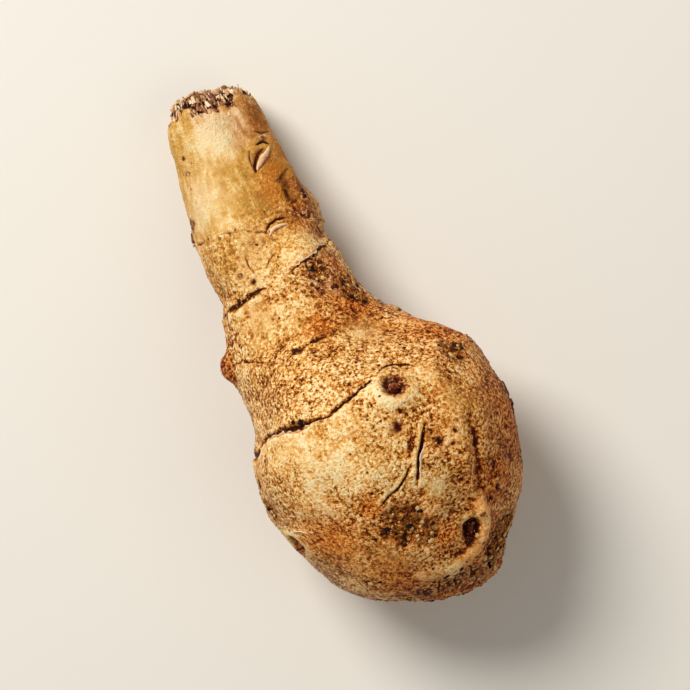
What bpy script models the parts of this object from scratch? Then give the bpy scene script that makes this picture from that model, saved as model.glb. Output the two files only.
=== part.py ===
"""A Jerusalem artichoke tuber, as dug and rinsed, lying on its side.

The tuber is one grown piece, so it is one solid: a round body with a knobbly
growing tip at -Y, and a tapering neck that ends at +Y where it broke off the
stolon. Rings round it are the scars of its scale leaves. Each has buds on it.
It rests on a small flat spot under the body, on which the origin lies, and on
the underside of the neck's end. Metres, +Z up.
"""

import math

import bmesh
import bpy
import numpy as np
from mathutils import Vector, noise

MM = 0.001

# Cross-sections from the growing tip to the broken end, in millimetres:
# distance along Y, left edge, right edge, underside, top.
SECTIONS = (
    (-20.5, 2.4, 2.4, 14.4, 14.4),
    (-20.1, -0.6, 5.2, 11.9, 17.0),
    (-19.1, -2.5, 6.9, 10.6, 18.4),
    (-18.3, -3.9, 7.9, 9.8, 19.6),
    (-17.2, -7.2, 9.2, 7.9, 22.4),
    (-15.2, -10.9, 11.0, 5.2, 26.0),
    (-11.8, -14.5, 13.5, 2.6, 29.3),
    (-7.0, -17.3, 16.4, 0.6, 32.2),
    (-1.0, -18.4, 18.6, -0.3, 33.8),
    (5.0, -17.7, 18.0, -0.2, 33.6),
    (9.5, -16.3, 16.3, 0.6, 32.0),
    (13.0, -15.3, 13.2, 1.5, 29.4),
    (17.0, -14.7, 9.5, 2.1, 25.8),
    (21.0, -14.2, 7.0, 2.2, 23.0),
    (26.0, -13.2, 5.4, 2.1, 20.6),
    (31.0, -12.2, 4.2, 1.8, 18.5),
    (36.0, -11.7, 4.5, 1.2, 16.7),
    (42.0, -11.3, 4.7, 0.6, 15.2),
    (47.0, -10.5, 4.8, 0.0, 14.2),
    (51.0, -9.3, 4.5, -0.1, 13.3),
    (53.1, -7.7, 3.7, 0.5, 12.6),
)

# Node rings, where a scale leaf went round: distance along Y, lean towards +X,
# lean towards +Z, and how far the body's side of the ring stands proud (mm).
NODE_RINGS = (
    (-18.2, 0.00, 0.00, 0.30),
    (10.0, 0.03, 0.00, 0.60),
    (18.6, -0.03, 0.04, 0.45),
    (28.6, 0.15, 0.05, 0.50),
    (36.0, -0.28, 0.05, 0.45),
    (46.5, -0.06, -0.10, 0.12),
)
RINGS_LEAN_FROM = 0.0  # rows of points lean with the rings beyond here, mm along Y
RING_WAVE = 1.5  # how far a ring wanders along Y, mm
RING_WAVE_LENGTH = 7.0  # how fast that changes from ring to ring, mm
RING_RIM_LENGTH = 2.6  # how far the proud rim takes to die out towards the tip, mm
RING_GROOVE_LENGTH = 0.9  # and the hollow on the neck's side of it, mm
RING_GROOVE_SHARE = 0.6  # depth of that hollow as a share of the rim's height
RING_STEP = 0.15  # length over which the rim drops into the groove, mm
RING_STRENGTH = 0.8  # middle height of a rim as a share of its stated height
RING_UNEVENNESS = 1.5  # how much that varies round the ring
RING_LEAST = 0.1  # and what is left of it where it is faintest
RING_APART = 3.7  # keeps one ring's unevenness unlike the next one's
ROWS_AT_RING = (-1.3, -0.7, -0.3, 0.0, 0.3, 0.7)  # extra rows round a ring, mm

# Buds that stand out as mounds: distance along Y, bearing (0 = +X, 90 = top,
# 180 = -X, 270 = underside), radius and height (mm).
BUDS = (
    (-19.4, 10.0, 2.2, 1.0),
    (-18.4, 118.0, 1.9, 1.2),
    (-18.6, 250.0, 2.2, 1.4),
    (-20.6, 95.0, 1.6, 0.9),
    (-5.4, 171.0, 1.9, 0.5),
    (20.6, 178.0, 2.0, 1.4),
    (27.0, 58.0, 3.0, 0.9),
    (38.0, 8.0, 3.0, 1.3),
    (9.0, 222.0, 2.2, 1.3),
    (28.4, 238.0, 2.3, 1.4),
    (36.6, 196.0, 1.7, 0.8),
)
# Eyes, a sunken bud in a raised collar: distance along Y, bearing, radius of
# the collar, its height, and the depth of the pit (mm).
EYES = (
    (9.0, 75.0, 2.3, 0.8, 1.2),
    (-12.9, 61.0, 2.2, 0.7, 1.3),
    (-8.0, 318.0, 2.3, 0.7, 1.1),
    (-9.5, 205.0, 2.1, 0.7, 1.0),
    (18.4, 332.0, 2.2, 0.8, 1.1),
)
# Their parts as shares of the collar's radius, and the bud's height of the pit's depth.
COLLAR_AT = 0.9
COLLAR_HALF_WIDTH = 0.42
PIT_HALF_WIDTH = 0.55
BUD_HALF_WIDTH = 0.24
BUD_SHARE = 0.75
# A fold of skin beside the tip, as points of distance along Y and bearing.
TIP_FOLD = ((-15.8, 104.0), (-16.8, 76.0), (-16.2, 62.0), (-14.2, 53.0), (-12.0, 51.0), (-10.0, 56.0))
TIP_FOLD_HEIGHT = 0.9
TIP_FOLD_HALF_WIDTH = 0.95
# A shallow hollow on top of the body: distance along Y, bearing, radius, depth.
HOLLOW = (-8.0, 96.0, 4.2, 0.5)

LUMPS = ((14.0, 1.5), (6.5, 0.55))  # broad unevenness of the skin: size and height, mm
LUMP_SEED = Vector((0.0, 0.0, 5.1))  # which unevenness of its kind
FLUTE_HEIGHT = 0.22  # faint ribs along the neck, mm
FLUTES = 5
FLUTE_TWIST = 0.08  # radians per mm along Y
NECK_FROM = 22.0  # where the neck's ribs start, mm along Y
NECK_FADE = 10.0  # and the length over which they grow to their full height, mm

# The broken end: share of the rim's radius, and how far it bulges past the rim (mm).
END_LOOPS = ((0.93, 0.60), (0.80, 1.35), (0.60, 2.05), (0.35, 2.40))
END_BULGE = 2.5
END_RAGGED = ((1.1, 0.35), (0.43, 0.21))  # size and height of its unevenness, mm

ROW_SPACING = 0.75  # mm along the outline
SEGMENTS = 128  # points round each row
TRIANGLES = 9600  # what the skin is thinned to: few where it is smooth, many at a bud
PRESS_DEPTH = 0.55  # how much of the underside the flat spot takes off, mm
FLAT_BELOW = 0.04  # points this near the ground lie on it, mm

SKIN_COLOUR = (0.56, 0.32, 0.12, 1.0)
SKIN_ROUGHNESS = 0.55


def clear_scene():
    """Removes whatever the file opened with."""
    for obj in list(bpy.data.objects):
        bpy.data.objects.remove(obj)


def spline(table, position):
    """The table's row at a fractional index, on a Catmull-Rom curve through its rows."""
    last = len(table) - 1
    index = min(int(position), last - 1)
    t = position - index
    before, start = table[max(index - 1, 0)], table[index]
    end, after = table[index + 1], table[min(index + 2, last)]
    slope_in, slope_out = (end - before) / 2, (after - start) / 2
    return (
        (2 * t**3 - 3 * t**2 + 1) * start
        + (t**3 - 2 * t**2 + t) * slope_in
        + (3 * t**2 - 2 * t**3) * end
        + (t**3 - t**2) * slope_out
    )


class Outline:
    """The smooth form that the sections describe, before rings and buds."""

    SAMPLES = 1200

    def __init__(self):
        table = np.array(SECTIONS)
        places = np.linspace(0, len(table) - 1, self.SAMPLES)
        self.curve = np.array([spline(table, place) for place in places])
        widths = self.curve[:, 2] - self.curve[:, 1] + self.curve[:, 4] - self.curve[:, 3]
        steps = np.hypot(np.diff(self.curve[:, 0]), np.diff(widths / 4))
        self.length = np.concatenate([[0.0], np.cumsum(steps)])

    def at(self, y):
        """(centre x, centre z, half width, half height) at a distance along Y."""
        left, right, under, top = (
            np.interp(y, self.curve[:, 0], self.curve[:, column]) for column in (1, 2, 3, 4)
        )
        return (left + right) / 2, (under + top) / 2, (right - left) / 2, (top - under) / 2

    def y_at_length(self, length):
        return float(np.interp(length, self.length, self.curve[:, 0]))

    def length_at_y(self, y):
        return float(np.interp(y, self.curve[:, 0], self.length))

    def point(self, y, bearing):
        """A point of the smooth skin; the rows lean as the nearest rings do."""
        centre_x, centre_z, half_width, half_height = self.at(y)
        across = half_width * math.cos(bearing)
        up = half_height * math.sin(bearing)
        return Vector((centre_x + across, y + row_shift(y, bearing, across, up), centre_z + up))

    def bearing_of(self, point, y):
        centre_x, centre_z, half_width, half_height = self.at(y)
        return math.atan2((point.z - centre_z) / half_height, (point.x - centre_x) / half_width)


def noise_round(bearing, along):
    """Unevenness that closes on itself round the tuber."""
    return noise.noise(Vector((1.2 * math.cos(bearing), 1.2 * math.sin(bearing), along)))


def row_shift(y, bearing, across, up):
    """How far a row's point moves along Y, so that rows run along the rings."""
    places = [ring[0] for ring in NODE_RINGS]
    lean_x = np.interp(y, places, [ring[1] for ring in NODE_RINGS])
    lean_z = np.interp(y, places, [ring[2] for ring in NODE_RINGS])
    fade = min(1.0, max(0.0, (y - RINGS_LEAN_FROM) / (places[1] - RINGS_LEAN_FROM)))
    wave = RING_WAVE * noise_round(bearing, y / RING_WAVE_LENGTH)
    return fade * (lean_x * across + lean_z * up + wave)


def row_places(outline):
    """Where the rows of points lie along Y: evenly along the outline, closer at each ring."""
    total = outline.length[-1]
    count = round(total / ROW_SPACING)
    reach = ROWS_AT_RING[-1] + ROW_SPACING / 2
    ring_lengths = [outline.length_at_y(ring[0]) for ring in NODE_RINGS]
    even = [total * (step + 1) / count for step in range(count)]
    kept = [at for at in even if all(abs(at - ring) > reach for ring in ring_lengths)]
    close = [ring + offset for ring in ring_lengths for offset in ROWS_AT_RING]
    return [outline.y_at_length(at) for at in sorted(kept + close)]


def loft(outline):
    """The smooth closed skin, with each point's nominal place along Y kept on it."""
    skin = bmesh.new()
    place = skin.verts.layers.float.new("place")
    bearings = [2 * math.pi * step / SEGMENTS for step in range(SEGMENTS)]
    loops = []
    for y in row_places(outline):
        loops.append([skin.verts.new(outline.point(y, bearing)) for bearing in bearings])
        for vert in loops[-1]:
            vert[place] = y
    rim = [vert.co.copy() for vert in loops[-1]]
    middle = sum(rim, Vector()) / SEGMENTS
    for share, bulge in END_LOOPS:
        loop = []
        for point in rim:
            inner = middle.lerp(point, share)
            ragged = sum(tall * noise.noise(inner / size) for size, tall in END_RAGGED)
            inner.y += ragged + bulge
            loop.append(skin.verts.new(inner))
            loop[-1][place] = SECTIONS[-1][0]
        loops.append(loop)
    for first, second in zip(loops, loops[1:]):
        for step in range(SEGMENTS):
            after = (step + 1) % SEGMENTS
            skin.faces.new((first[step], second[step], second[after], first[after]))
    close_end(skin, place, loops[0], Vector(outline.point(SECTIONS[0][0], 0.0)), SECTIONS[0][0])
    middle.y += END_BULGE
    close_end(skin, place, loops[-1], middle, SECTIONS[-1][0])
    bmesh.ops.recalc_face_normals(skin, faces=skin.faces[:])
    return skin, place


def close_end(skin, place, loop, point, y):
    """A fan of faces from a row of points to one point."""
    tip = skin.verts.new(point)
    tip[place] = y
    for step, vert in enumerate(loop):
        skin.faces.new((vert, loop[(step + 1) % len(loop)], tip))


def ring_relief(y, bearing):
    """Height of the node rings at a place: a proud rim on the tip's side, a groove beside it."""
    height = 0.0
    for number, (ring, _, _, proud) in enumerate(NODE_RINGS):
        towards_tip = ring - y
        share = RING_STRENGTH + RING_UNEVENNESS * noise_round(bearing, RING_APART * number)
        rim = math.exp(-abs(towards_tip) / RING_RIM_LENGTH)
        groove = RING_GROOVE_SHARE * math.exp(-abs(towards_tip) / RING_GROOVE_LENGTH)
        on_rim = 0.5 + 0.5 * math.tanh(towards_tip / RING_STEP)
        height += proud * max(RING_LEAST, share) * (on_rim * rim - (1 - on_rim) * groove)
    return height


def bell(distance, radius):
    return math.exp(-((distance / radius) ** 2))


def eye_relief(distance, radius, collar, pit):
    """A raised collar round a pit, with a small bud standing in it."""
    rim = collar * bell(distance - COLLAR_AT * radius, COLLAR_HALF_WIDTH * radius)
    hollow = pit * bell(distance, PIT_HALF_WIDTH * radius)
    bud = BUD_SHARE * pit * bell(distance, BUD_HALF_WIDTH * radius)
    return rim - hollow + bud


def fold_relief(point, path):
    """Height of the skin fold beside the tip, which fades towards its ends."""
    nearest, along = 1e9, 0.0
    for number, (start, end) in enumerate(zip(path, path[1:])):
        span = end - start
        t = min(1.0, max(0.0, (point - start).dot(span) / span.length_squared))
        distance = (point - start - t * span).length
        if distance < nearest:
            nearest, along = distance, (number + t) / (len(path) - 1)
    return TIP_FOLD_HEIGHT * math.sin(math.pi * along) ** 0.5 * bell(nearest, TIP_FOLD_HALF_WIDTH)


def flute_relief(y, bearing):
    fade = min(1.0, max(0.0, (y - NECK_FROM) / NECK_FADE))
    return fade * FLUTE_HEIGHT * math.cos(FLUTES * bearing + FLUTE_TWIST * y)


def relief(outline, point, y, spots):
    """Height of everything that stands out of the smooth form at a point of it."""
    bearing = outline.bearing_of(point, y)
    height = ring_relief(y, bearing) + flute_relief(y, bearing)
    height += sum(tall * noise.noise(point / size + LUMP_SEED) for size, tall in LUMPS)
    height += fold_relief(point, spots["fold"])
    for centre, radius, tall in spots["buds"]:
        height += tall * bell((point - centre).length, radius)
    for centre, radius, collar, pit in spots["eyes"]:
        height += eye_relief((point - centre).length, radius, collar, pit)
    centre, radius, depth = spots["hollow"]
    return height - depth * bell((point - centre).length, radius)


def feature_spots(outline):
    """Where the buds, eyes, fold and hollow are on the smooth skin, with their sizes."""

    def spot(feature):
        y, degrees, *sizes = feature
        return (outline.point(y, math.radians(degrees)), *sizes)

    return {
        "buds": [spot(bud) for bud in BUDS],
        "eyes": [spot(eye) for eye in EYES],
        "fold": [spot(place)[0] for place in TIP_FOLD],
        "hollow": spot(HOLLOW),
    }


def carve(skin, place, outline, spots):
    """Moves each skin point along its normal by the relief there."""
    skin.normal_update()
    end_of_skin = SECTIONS[-1][0]
    moves = []
    for vert in skin.verts:
        y = vert[place]
        at_ends = y <= SECTIONS[0][0] or y >= end_of_skin
        height = 0.0 if at_ends else relief(outline, vert.co, y, spots)
        moves.append(vert.normal * height)
    for vert, move in zip(skin.verts, moves):
        vert.co += move


def press_flat(skin):
    """Stands the skin on the ground, with what would reach below it pressed flat."""
    ground = min(vert.co.z for vert in skin.verts) + PRESS_DEPTH
    for vert in skin.verts:
        vert.co.z = max(vert.co.z - ground, 0.0)


def thinned(tuber):
    """The tuber's mesh with fewer triangles, and its flat spots flat again."""
    thinning = tuber.modifiers.new("thinning", "DECIMATE")
    thinning.ratio = TRIANGLES / len(tuber.data.polygons)
    seen = tuber.evaluated_get(bpy.context.evaluated_depsgraph_get())
    mesh = bpy.data.meshes.new_from_object(seen)
    tuber.modifiers.remove(thinning)
    for vert in mesh.vertices:
        if vert.co.z < FLAT_BELOW * MM:
            vert.co.z = 0.0
    return mesh


def skin_material():
    material = bpy.data.materials.new("tuber_skin")
    material.use_nodes = True
    shader = material.node_tree.nodes["Principled BSDF"]
    shader.inputs["Base Color"].default_value = SKIN_COLOUR
    shader.inputs["Roughness"].default_value = SKIN_ROUGHNESS
    shader.inputs["Metallic"].default_value = 0.0
    material.diffuse_color = SKIN_COLOUR
    return material


def build_tuber():
    outline = Outline()
    skin, place = loft(outline)
    carve(skin, place, outline, feature_spots(outline))
    press_flat(skin)
    skin.verts.layers.float.remove(place)
    bmesh.ops.scale(skin, vec=(MM, MM, MM), verts=skin.verts[:])
    bmesh.ops.triangulate(skin, faces=skin.faces[:])
    mesh = bpy.data.meshes.new("tuber")
    skin.to_mesh(mesh)
    skin.free()
    mesh.shade_smooth()
    mesh.materials.append(skin_material())
    tuber = bpy.data.objects.new("tuber", mesh)
    bpy.context.scene.collection.objects.link(tuber)
    tuber.data = thinned(tuber)
    return tuber


clear_scene()
build_tuber()
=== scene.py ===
# %% [markdown]
# # A Jerusalem artichoke tuber
# This lesson dresses one tuber. Its solid form is already made: a round body, a knobbly growing
# tip and a ringed neck that ends where it broke off. The solid is loaded first and never
# changed. Everything below gives it a skin, buds, dry scale leaves, torn fibres and soil.

# %% Load the fixed solid
import math

import bmesh
import bpy
import numpy as np
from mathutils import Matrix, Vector, noise
from mathutils.bvhtree import BVHTree


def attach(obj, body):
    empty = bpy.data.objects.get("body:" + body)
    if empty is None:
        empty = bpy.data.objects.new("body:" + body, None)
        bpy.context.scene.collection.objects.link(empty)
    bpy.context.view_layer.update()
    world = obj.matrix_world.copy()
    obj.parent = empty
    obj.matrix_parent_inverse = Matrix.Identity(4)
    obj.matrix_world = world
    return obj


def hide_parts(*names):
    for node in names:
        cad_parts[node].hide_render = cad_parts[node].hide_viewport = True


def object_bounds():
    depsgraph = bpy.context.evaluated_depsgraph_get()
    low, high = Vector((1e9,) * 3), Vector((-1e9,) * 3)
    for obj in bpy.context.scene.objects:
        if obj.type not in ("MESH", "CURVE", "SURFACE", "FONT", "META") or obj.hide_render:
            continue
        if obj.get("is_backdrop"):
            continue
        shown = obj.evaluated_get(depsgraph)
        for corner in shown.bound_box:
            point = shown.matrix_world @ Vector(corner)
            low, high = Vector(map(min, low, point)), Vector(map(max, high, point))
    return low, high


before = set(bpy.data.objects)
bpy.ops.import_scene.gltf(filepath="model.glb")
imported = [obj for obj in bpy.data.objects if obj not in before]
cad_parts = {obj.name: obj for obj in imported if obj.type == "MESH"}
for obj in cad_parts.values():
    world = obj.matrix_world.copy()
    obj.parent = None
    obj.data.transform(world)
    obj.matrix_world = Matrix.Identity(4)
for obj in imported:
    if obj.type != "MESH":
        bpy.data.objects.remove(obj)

MM = 0.001
box_low, box_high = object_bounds()
ROOM_LOW, ROOM_HIGH = np.array(box_low) / MM, np.array(box_high) / MM
print("room in mm:", ROOM_LOW.round(1), "to", ROOM_HIGH.round(1))

# %% [markdown]
# ## A fine mesh to sculpt
# The solid has a few thousand long triangles, too few to hold a crease or a grain. A sculptor
# would lay even clay over it. Voxel Remesh does that: it rebuilds the surface from small equal
# squares, and a few rounds of smoothing take its stair steps away.

# %% Remesh a merged copy of the solid
VOXEL = 0.40 * MM
SMOOTHING_ROUNDS = 24


def merged_copy(node_object):
    """The node's surface with its loose triangles joined."""
    work = bmesh.new()
    work.from_mesh(node_object.data)
    bmesh.ops.remove_doubles(work, verts=work.verts, dist=MM / 1000)
    mesh = bpy.data.meshes.new("tuber_skin")
    work.to_mesh(mesh)
    work.free()
    return mesh


def evaluated(obj):
    """A plain mesh of what the object's modifiers make."""
    seen = obj.evaluated_get(bpy.context.evaluated_depsgraph_get())
    return bpy.data.meshes.new_from_object(seen)


def link(name, mesh):
    obj = bpy.data.objects.new(name, mesh)
    bpy.context.scene.collection.objects.link(obj)
    return obj


skin = link("tuber_skin", merged_copy(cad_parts["tuber"]))
remesh = skin.modifiers.new("even_clay", "REMESH")
remesh.mode = "VOXEL"
remesh.voxel_size = VOXEL
skin.data = evaluated(skin)
skin.modifiers.clear()
print("remeshed to", len(skin.data.polygons), "faces")


# %% Read, smooth and write points as arrays
def points_of(mesh):
    flat = np.empty(len(mesh.vertices) * 3)
    mesh.vertices.foreach_get("co", flat)
    return flat.reshape(-1, 3) / MM


def edges_of(mesh):
    flat = np.empty(len(mesh.edges) * 2, dtype=np.int64)
    mesh.edges.foreach_get("vertices", flat)
    return flat.reshape(-1, 2)


def normals_of(mesh):
    flat = np.empty(len(mesh.vertices) * 3)
    mesh.vertex_normals.foreach_get("vector", flat)
    return flat.reshape(-1, 3)


def set_points(mesh, points):
    mesh.vertices.foreach_set("co", (points * MM).ravel())
    mesh.update()


def relaxed(values, edges, rounds, share=0.5):
    """Each value moved part of the way to its neighbours' mean, again and again."""
    first, second = edges.T
    count = np.bincount(edges.ravel(), minlength=len(values))
    values = values.copy()
    for _ in range(rounds):
        total = np.zeros_like(values)
        for column in range(values.shape[1]):
            total[:, column] += np.bincount(first, values[second, column], len(values))
            total[:, column] += np.bincount(second, values[first, column], len(values))
        values += share * (total / count[:, None] - values)
    return values


set_points(skin.data, relaxed(points_of(skin.data), edges_of(skin.data), SMOOTHING_ROUNDS))

# %% [markdown]
# ## Finding places on the tuber
# A sculptor says "at the third ring, round to the left". These helpers do the same. A place is
# a distance along the tuber (Y, in mm from the origin, which lies under the body) and a bearing
# round it: 0 is the +X side, 90 the top, 180 the -X side. The rings lean and wander, so each
# place is carried along with the rings beside it. Marks on the top are simpler to place on a
# plan, by X and Y, and are then dropped on the skin.

# %% The spine, the rings and places on the skin
# Rings: distance along Y, lean towards +X, lean towards +Z.
RINGS = {
    "tip": (-18.2, 0.00, 0.00),
    "shoulder": (10.0, 0.03, 0.00),
    "neck_base": (18.6, -0.03, 0.04),
    "lower_neck": (28.6, 0.15, 0.05),
    "upper_neck": (36.0, -0.28, 0.05),
    "end": (46.5, -0.06, -0.10),
}
RING_WAVE = 1.5  # mm
RING_WAVE_LENGTH = 7.0  # mm
SLICE = 1.0  # mm
HIGH_ABOVE = 100.0  # mm


class Spine:
    """The line through the middle of the tuber, and how wide and high it is along it."""

    def __init__(self, points):
        self.y = np.arange(ROOM_LOW[1] + SLICE, ROOM_HIGH[1] - 2 * SLICE, SLICE)
        rows = [self.slice_at(points, y) for y in self.y]
        blur = np.ones(3) / 3
        padded = np.pad(np.array(rows), ((1, 1), (0, 0)), mode="edge")
        self.rows = np.array([np.convolve(column, blur, "valid") for column in padded.T])

    @staticmethod
    def slice_at(points, y):
        near = points[np.abs(points[:, 1] - y) < SLICE]
        low, high = near.min(axis=0), near.max(axis=0)
        middle, half = (low + high) / 2, (high - low) / 2
        return middle[0], middle[2], half[0], half[2]

    def at(self, y):
        """(centre x, centre z, half width, half height) at a distance along Y."""
        return [np.interp(y, self.y, row) for row in self.rows]


spine = Spine(points_of(skin.data))


def noise_round(degrees, along):
    """Unevenness that closes on itself round the tuber, as the solid's rings have it."""
    angle = math.radians(degrees)
    return noise.noise(Vector((1.2 * math.cos(angle), 1.2 * math.sin(angle), along)))


def ring_line(ring_y, lean_x, lean_z, bearing, across, up):
    """How far along Y a ring is at each bearing (degrees)."""
    table = [RING_WAVE * noise_round(d, ring_y / RING_WAVE_LENGTH) for d in range(361)]
    wave = np.interp(np.mod(bearing, 360), range(361), table)
    return ring_y + lean_x * across + lean_z * up + wave


def round_coordinates(points):
    """Bearing (degrees), and distances across and up from the spine."""
    centre_x, centre_z, half_width, half_height = spine.at(points[:, 1])
    across, up = points[:, 0] - centre_x, points[:, 2] - centre_z
    bearing = np.degrees(np.arctan2(up / half_height, across / half_width))
    return np.mod(bearing, 360), across, up


def surface_tree(mesh):
    return BVHTree.FromPolygons(
        [Vector(p) for p in points_of(mesh)], [tuple(face.vertices) for face in mesh.polygons]
    )


tree_of_skin = surface_tree(skin.data)


def on_skin(y, degrees):
    """The point and outward direction of the skin at a place (mm)."""
    angle = math.radians(degrees)
    centre_x, centre_z, half_width, half_height = (float(v) for v in spine.at(y))
    across, up = half_width * math.cos(angle), half_height * math.sin(angle)
    start = Vector((centre_x, shifted(y, degrees, across, up), centre_z))
    point, normal, _, _ = tree_of_skin.ray_cast(start, Vector((across, 0, up)).normalized())
    return point, normal


def shifted(y, degrees, across, up):
    """A place's distance along Y, carried along with the rings beside it."""
    rows = sorted(RINGS.values())
    lean_x = np.interp(y, [r[0] for r in rows], [r[1] for r in rows])
    lean_z = np.interp(y, [r[0] for r in rows], [r[2] for r in rows])
    fade = min(1.0, max(0.0, y / RINGS["shoulder"][0]))
    wave = RING_WAVE * noise_round(degrees, y / RING_WAVE_LENGTH)
    return y + fade * (lean_x * across + lean_z * up + wave)


def from_above(x, y):
    """The point and outward direction of the skin straight under a point of the plan."""
    start = Vector((x, y, HIGH_ABOVE))
    point, normal, _, _ = tree_of_skin.ray_cast(start, Vector((0, 0, -1)))
    return point, normal


print("the shoulder ring meets the top at", tuple(round(v, 1) for v in on_skin(10.0, 90)[0]))

# %% [markdown]
# ## The marks by which one knows this tuber
# An eye is a pit where a shoot will start, and a bud is a shoot that has started. Between them
# lie scabs, patches of soil, small scars, rubbed places, cracks and patches of painted light and
# shade. Each mark is one line here: its place and its sizes in mm. So a mark can be moved or
# added without touching the sculpting, which comes later and treats all marks of a kind alike.

# %% Eyes and buds
EYES = {  # place, collar radius, collar height, pit depth (mm), how long it is for its width
    "eye_top": (on_skin(9.0, 75), 2.4, 0.50, 0.4, 1.0),
    "eye_tip": (on_skin(-12.9, 61), 1.8, -0.20, 0.7, 1.9),
    "eye_right": (on_skin(-8.0, 318), 2.2, 0.4, 0.4, 1.0),
    "eye_left": (on_skin(-9.5, 205), 2.0, 0.4, 0.4, 1.2),
    "eye_low": (on_skin(18.4, 332), 2.1, 0.4, 0.4, 1.0),
    "eye_side": (from_above(-16.2, -5.3), 2.3, -0.40, 0.9, 0.8),
    "eye_toe": (from_above(6.4, -17.0), 1.3, 0.50, 0.4, 1.0),
}
BUDS = {  # place, radius of its base, height (mm)
    "bud_under": (on_skin(9.0, 222), 1.6, 0.8),
    "bud_back": (on_skin(28.4, 238), 1.5, 0.8),
    "bud_side": (on_skin(36.6, 190), 1.0, 0.3),
    "bud_apex": (on_skin(-19.2, 325), 1.3, 0.2),
    "bud_tip_left": (on_skin(-18.2, 120), 0.9, 0.2),
    "bud_tip_low": (on_skin(-18.4, 250), 1.4, 0.3),
}
CLOSED_BUD = (on_skin(19.8, 176), 1.9, 0.65)  # place, radius, height (mm): a smooth long dome
CLOSED_BUD_LENGTH = 1.4  # how long it is for its width
print(len(EYES), "eyes,", len(BUDS), "open buds and a closed one")

# %% Scabs, soil and scars
SCABS = {  # place, radius (mm): rough reddish cork
    "scab_ring": (from_above(1.8, 26.9), 2.5),
    "scab_ring_low": (from_above(1.2, 24.8), 1.6),
    "scab_foot": (from_above(2.9, 23.6), 1.2),
    "scab_fold": (from_above(4.2, 37.2), 1.4),
    "scab_fold_low": (from_above(3.6, 34.6), 1.5),
    "scab_fold_foot": (from_above(1.8, 35.6), 0.9),
    "scab_curl": (from_above(2.7, 46.5), 1.1),
    "scab_rim": (from_above(0.4, 52.2), 1.2),
    "scab_shoulder": (from_above(13.8, 9.4), 2.2),
    "scab_left": (on_skin(37.4, 170), 1.7),
    "scab_left_top": (from_above(-8.4, 48.6), 1.0),
    "scab_left_middle": (from_above(-8.8, 46.4), 1.1),
    "scab_left_foot": (from_above(-9.1, 44.3), 0.9),
    "scab_left_low": (from_above(-9.4, 42.4), 0.8),
    "scab_soil": (from_above(-1.0, -8.0), 2.2),
    "scab_tip": (from_above(1.4, -18.4), 2.0),
    "scab_tip_right": (from_above(7.6, -15.8), 1.8),
    "scab_side": (on_skin(1.5, 8), 2.4),
    "scab_side_low": (on_skin(-2.5, 6), 1.6),
    "scab_right_low": (on_skin(-7.2, 6), 1.5),
    "scab_under": (on_skin(2.0, 285), 3.5),
}
SOIL = {  # place, radius, depth of the hollow that holds it (mm)
    "soil_top": (from_above(-1.9, -8.3), 3.7, 0.30),
    "soil_top_low": (from_above(-0.4, -10.5), 3.0, 0.20),
    "soil_ring": (from_above(1.9, 26.8), 2.3, 0.22),
    "soil_left_edge": (on_skin(0.5, 172), 2.6, 0.1),
    "soil_left_top": (on_skin(4.5, 174), 1.8, 0.1),
    "soil_low_left": (from_above(-9.8, -13.8), 2.0, 0.1),
    "soil_low_edge": (from_above(-12.3, -11.4), 1.5, 0.1),
    "soil_left": (on_skin(-6.0, 168), 2.0, 0.1),
    "soil_fold": (on_skin(-15.6, 18), 4.2, 0.12),
    "soil_low": (on_skin(3.0, 240), 5.0, 0.2),
    "soil_neck": (from_above(5.4, 22.6), 3.2, 0.1),
    "soil_side": (on_skin(1.0, 352), 3.0, 0.0),
    "soil_spots": (from_above(-7.2, 29.8), 1.3, 0.1),
    "soil_shoulder": (from_above(13.6, 9.8), 3.0, 0.0),
}
SCARS = {  # place, radius, depth (mm): small pits with a pale rim
    "scar_middle": (from_above(2.5, 3.6), 1.1, 0.08),
    "scar_pair": (from_above(6.9, -0.4), 0.8, 0.2),
    "scar_pair_right": (from_above(9.2, 0.0), 0.7, 0.2),
    "scar_pair_low": (from_above(8.2, -1.4), 0.5, 0.15),
    "scar_right": (from_above(9.9, -10.4), 0.6, 0.2),
    "scar_far_right": (from_above(11.4, -9.3), 0.9, 0.25),
    "scar_low": (from_above(-9.9, -13.6), 0.8, 0.25),
    "scar_low_right": (from_above(-8.2, -14.4), 0.6, 0.2),
    "scar_neck": (from_above(-7.9, 30.5), 0.7, 0.18),
    "scar_ring": (from_above(-6.7, 29.1), 0.7, 0.18),
    "scar_cork": (from_above(1.0, 27.3), 0.55, 0.22),
    "scar_cork_top": (from_above(2.6, 27.6), 0.50, 0.22),
    "scar_cork_right": (from_above(2.6, 26.2), 0.60, 0.24),
    "scar_cork_low": (from_above(1.4, 25.4), 0.50, 0.20),
    "scar_foot": (from_above(3.1, 23.9), 0.8, 0.2),
    "scar_foot_right": (from_above(5.5, 24.6), 0.9, 0.25),
    "scar_toe": (from_above(6.2, -18.7), 0.8, 0.3),
    "scar_toe_left": (from_above(3.6, -18.9), 0.7, 0.3),
    "scar_back": (on_skin(4.0, 215), 1.2, 0.3),
    "scar_under": (on_skin(-6.0, 260), 1.0, 0.25),
}
print(len(SCABS), "scabs,", len(SOIL), "patches of soil and", len(SCARS), "scars")
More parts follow.
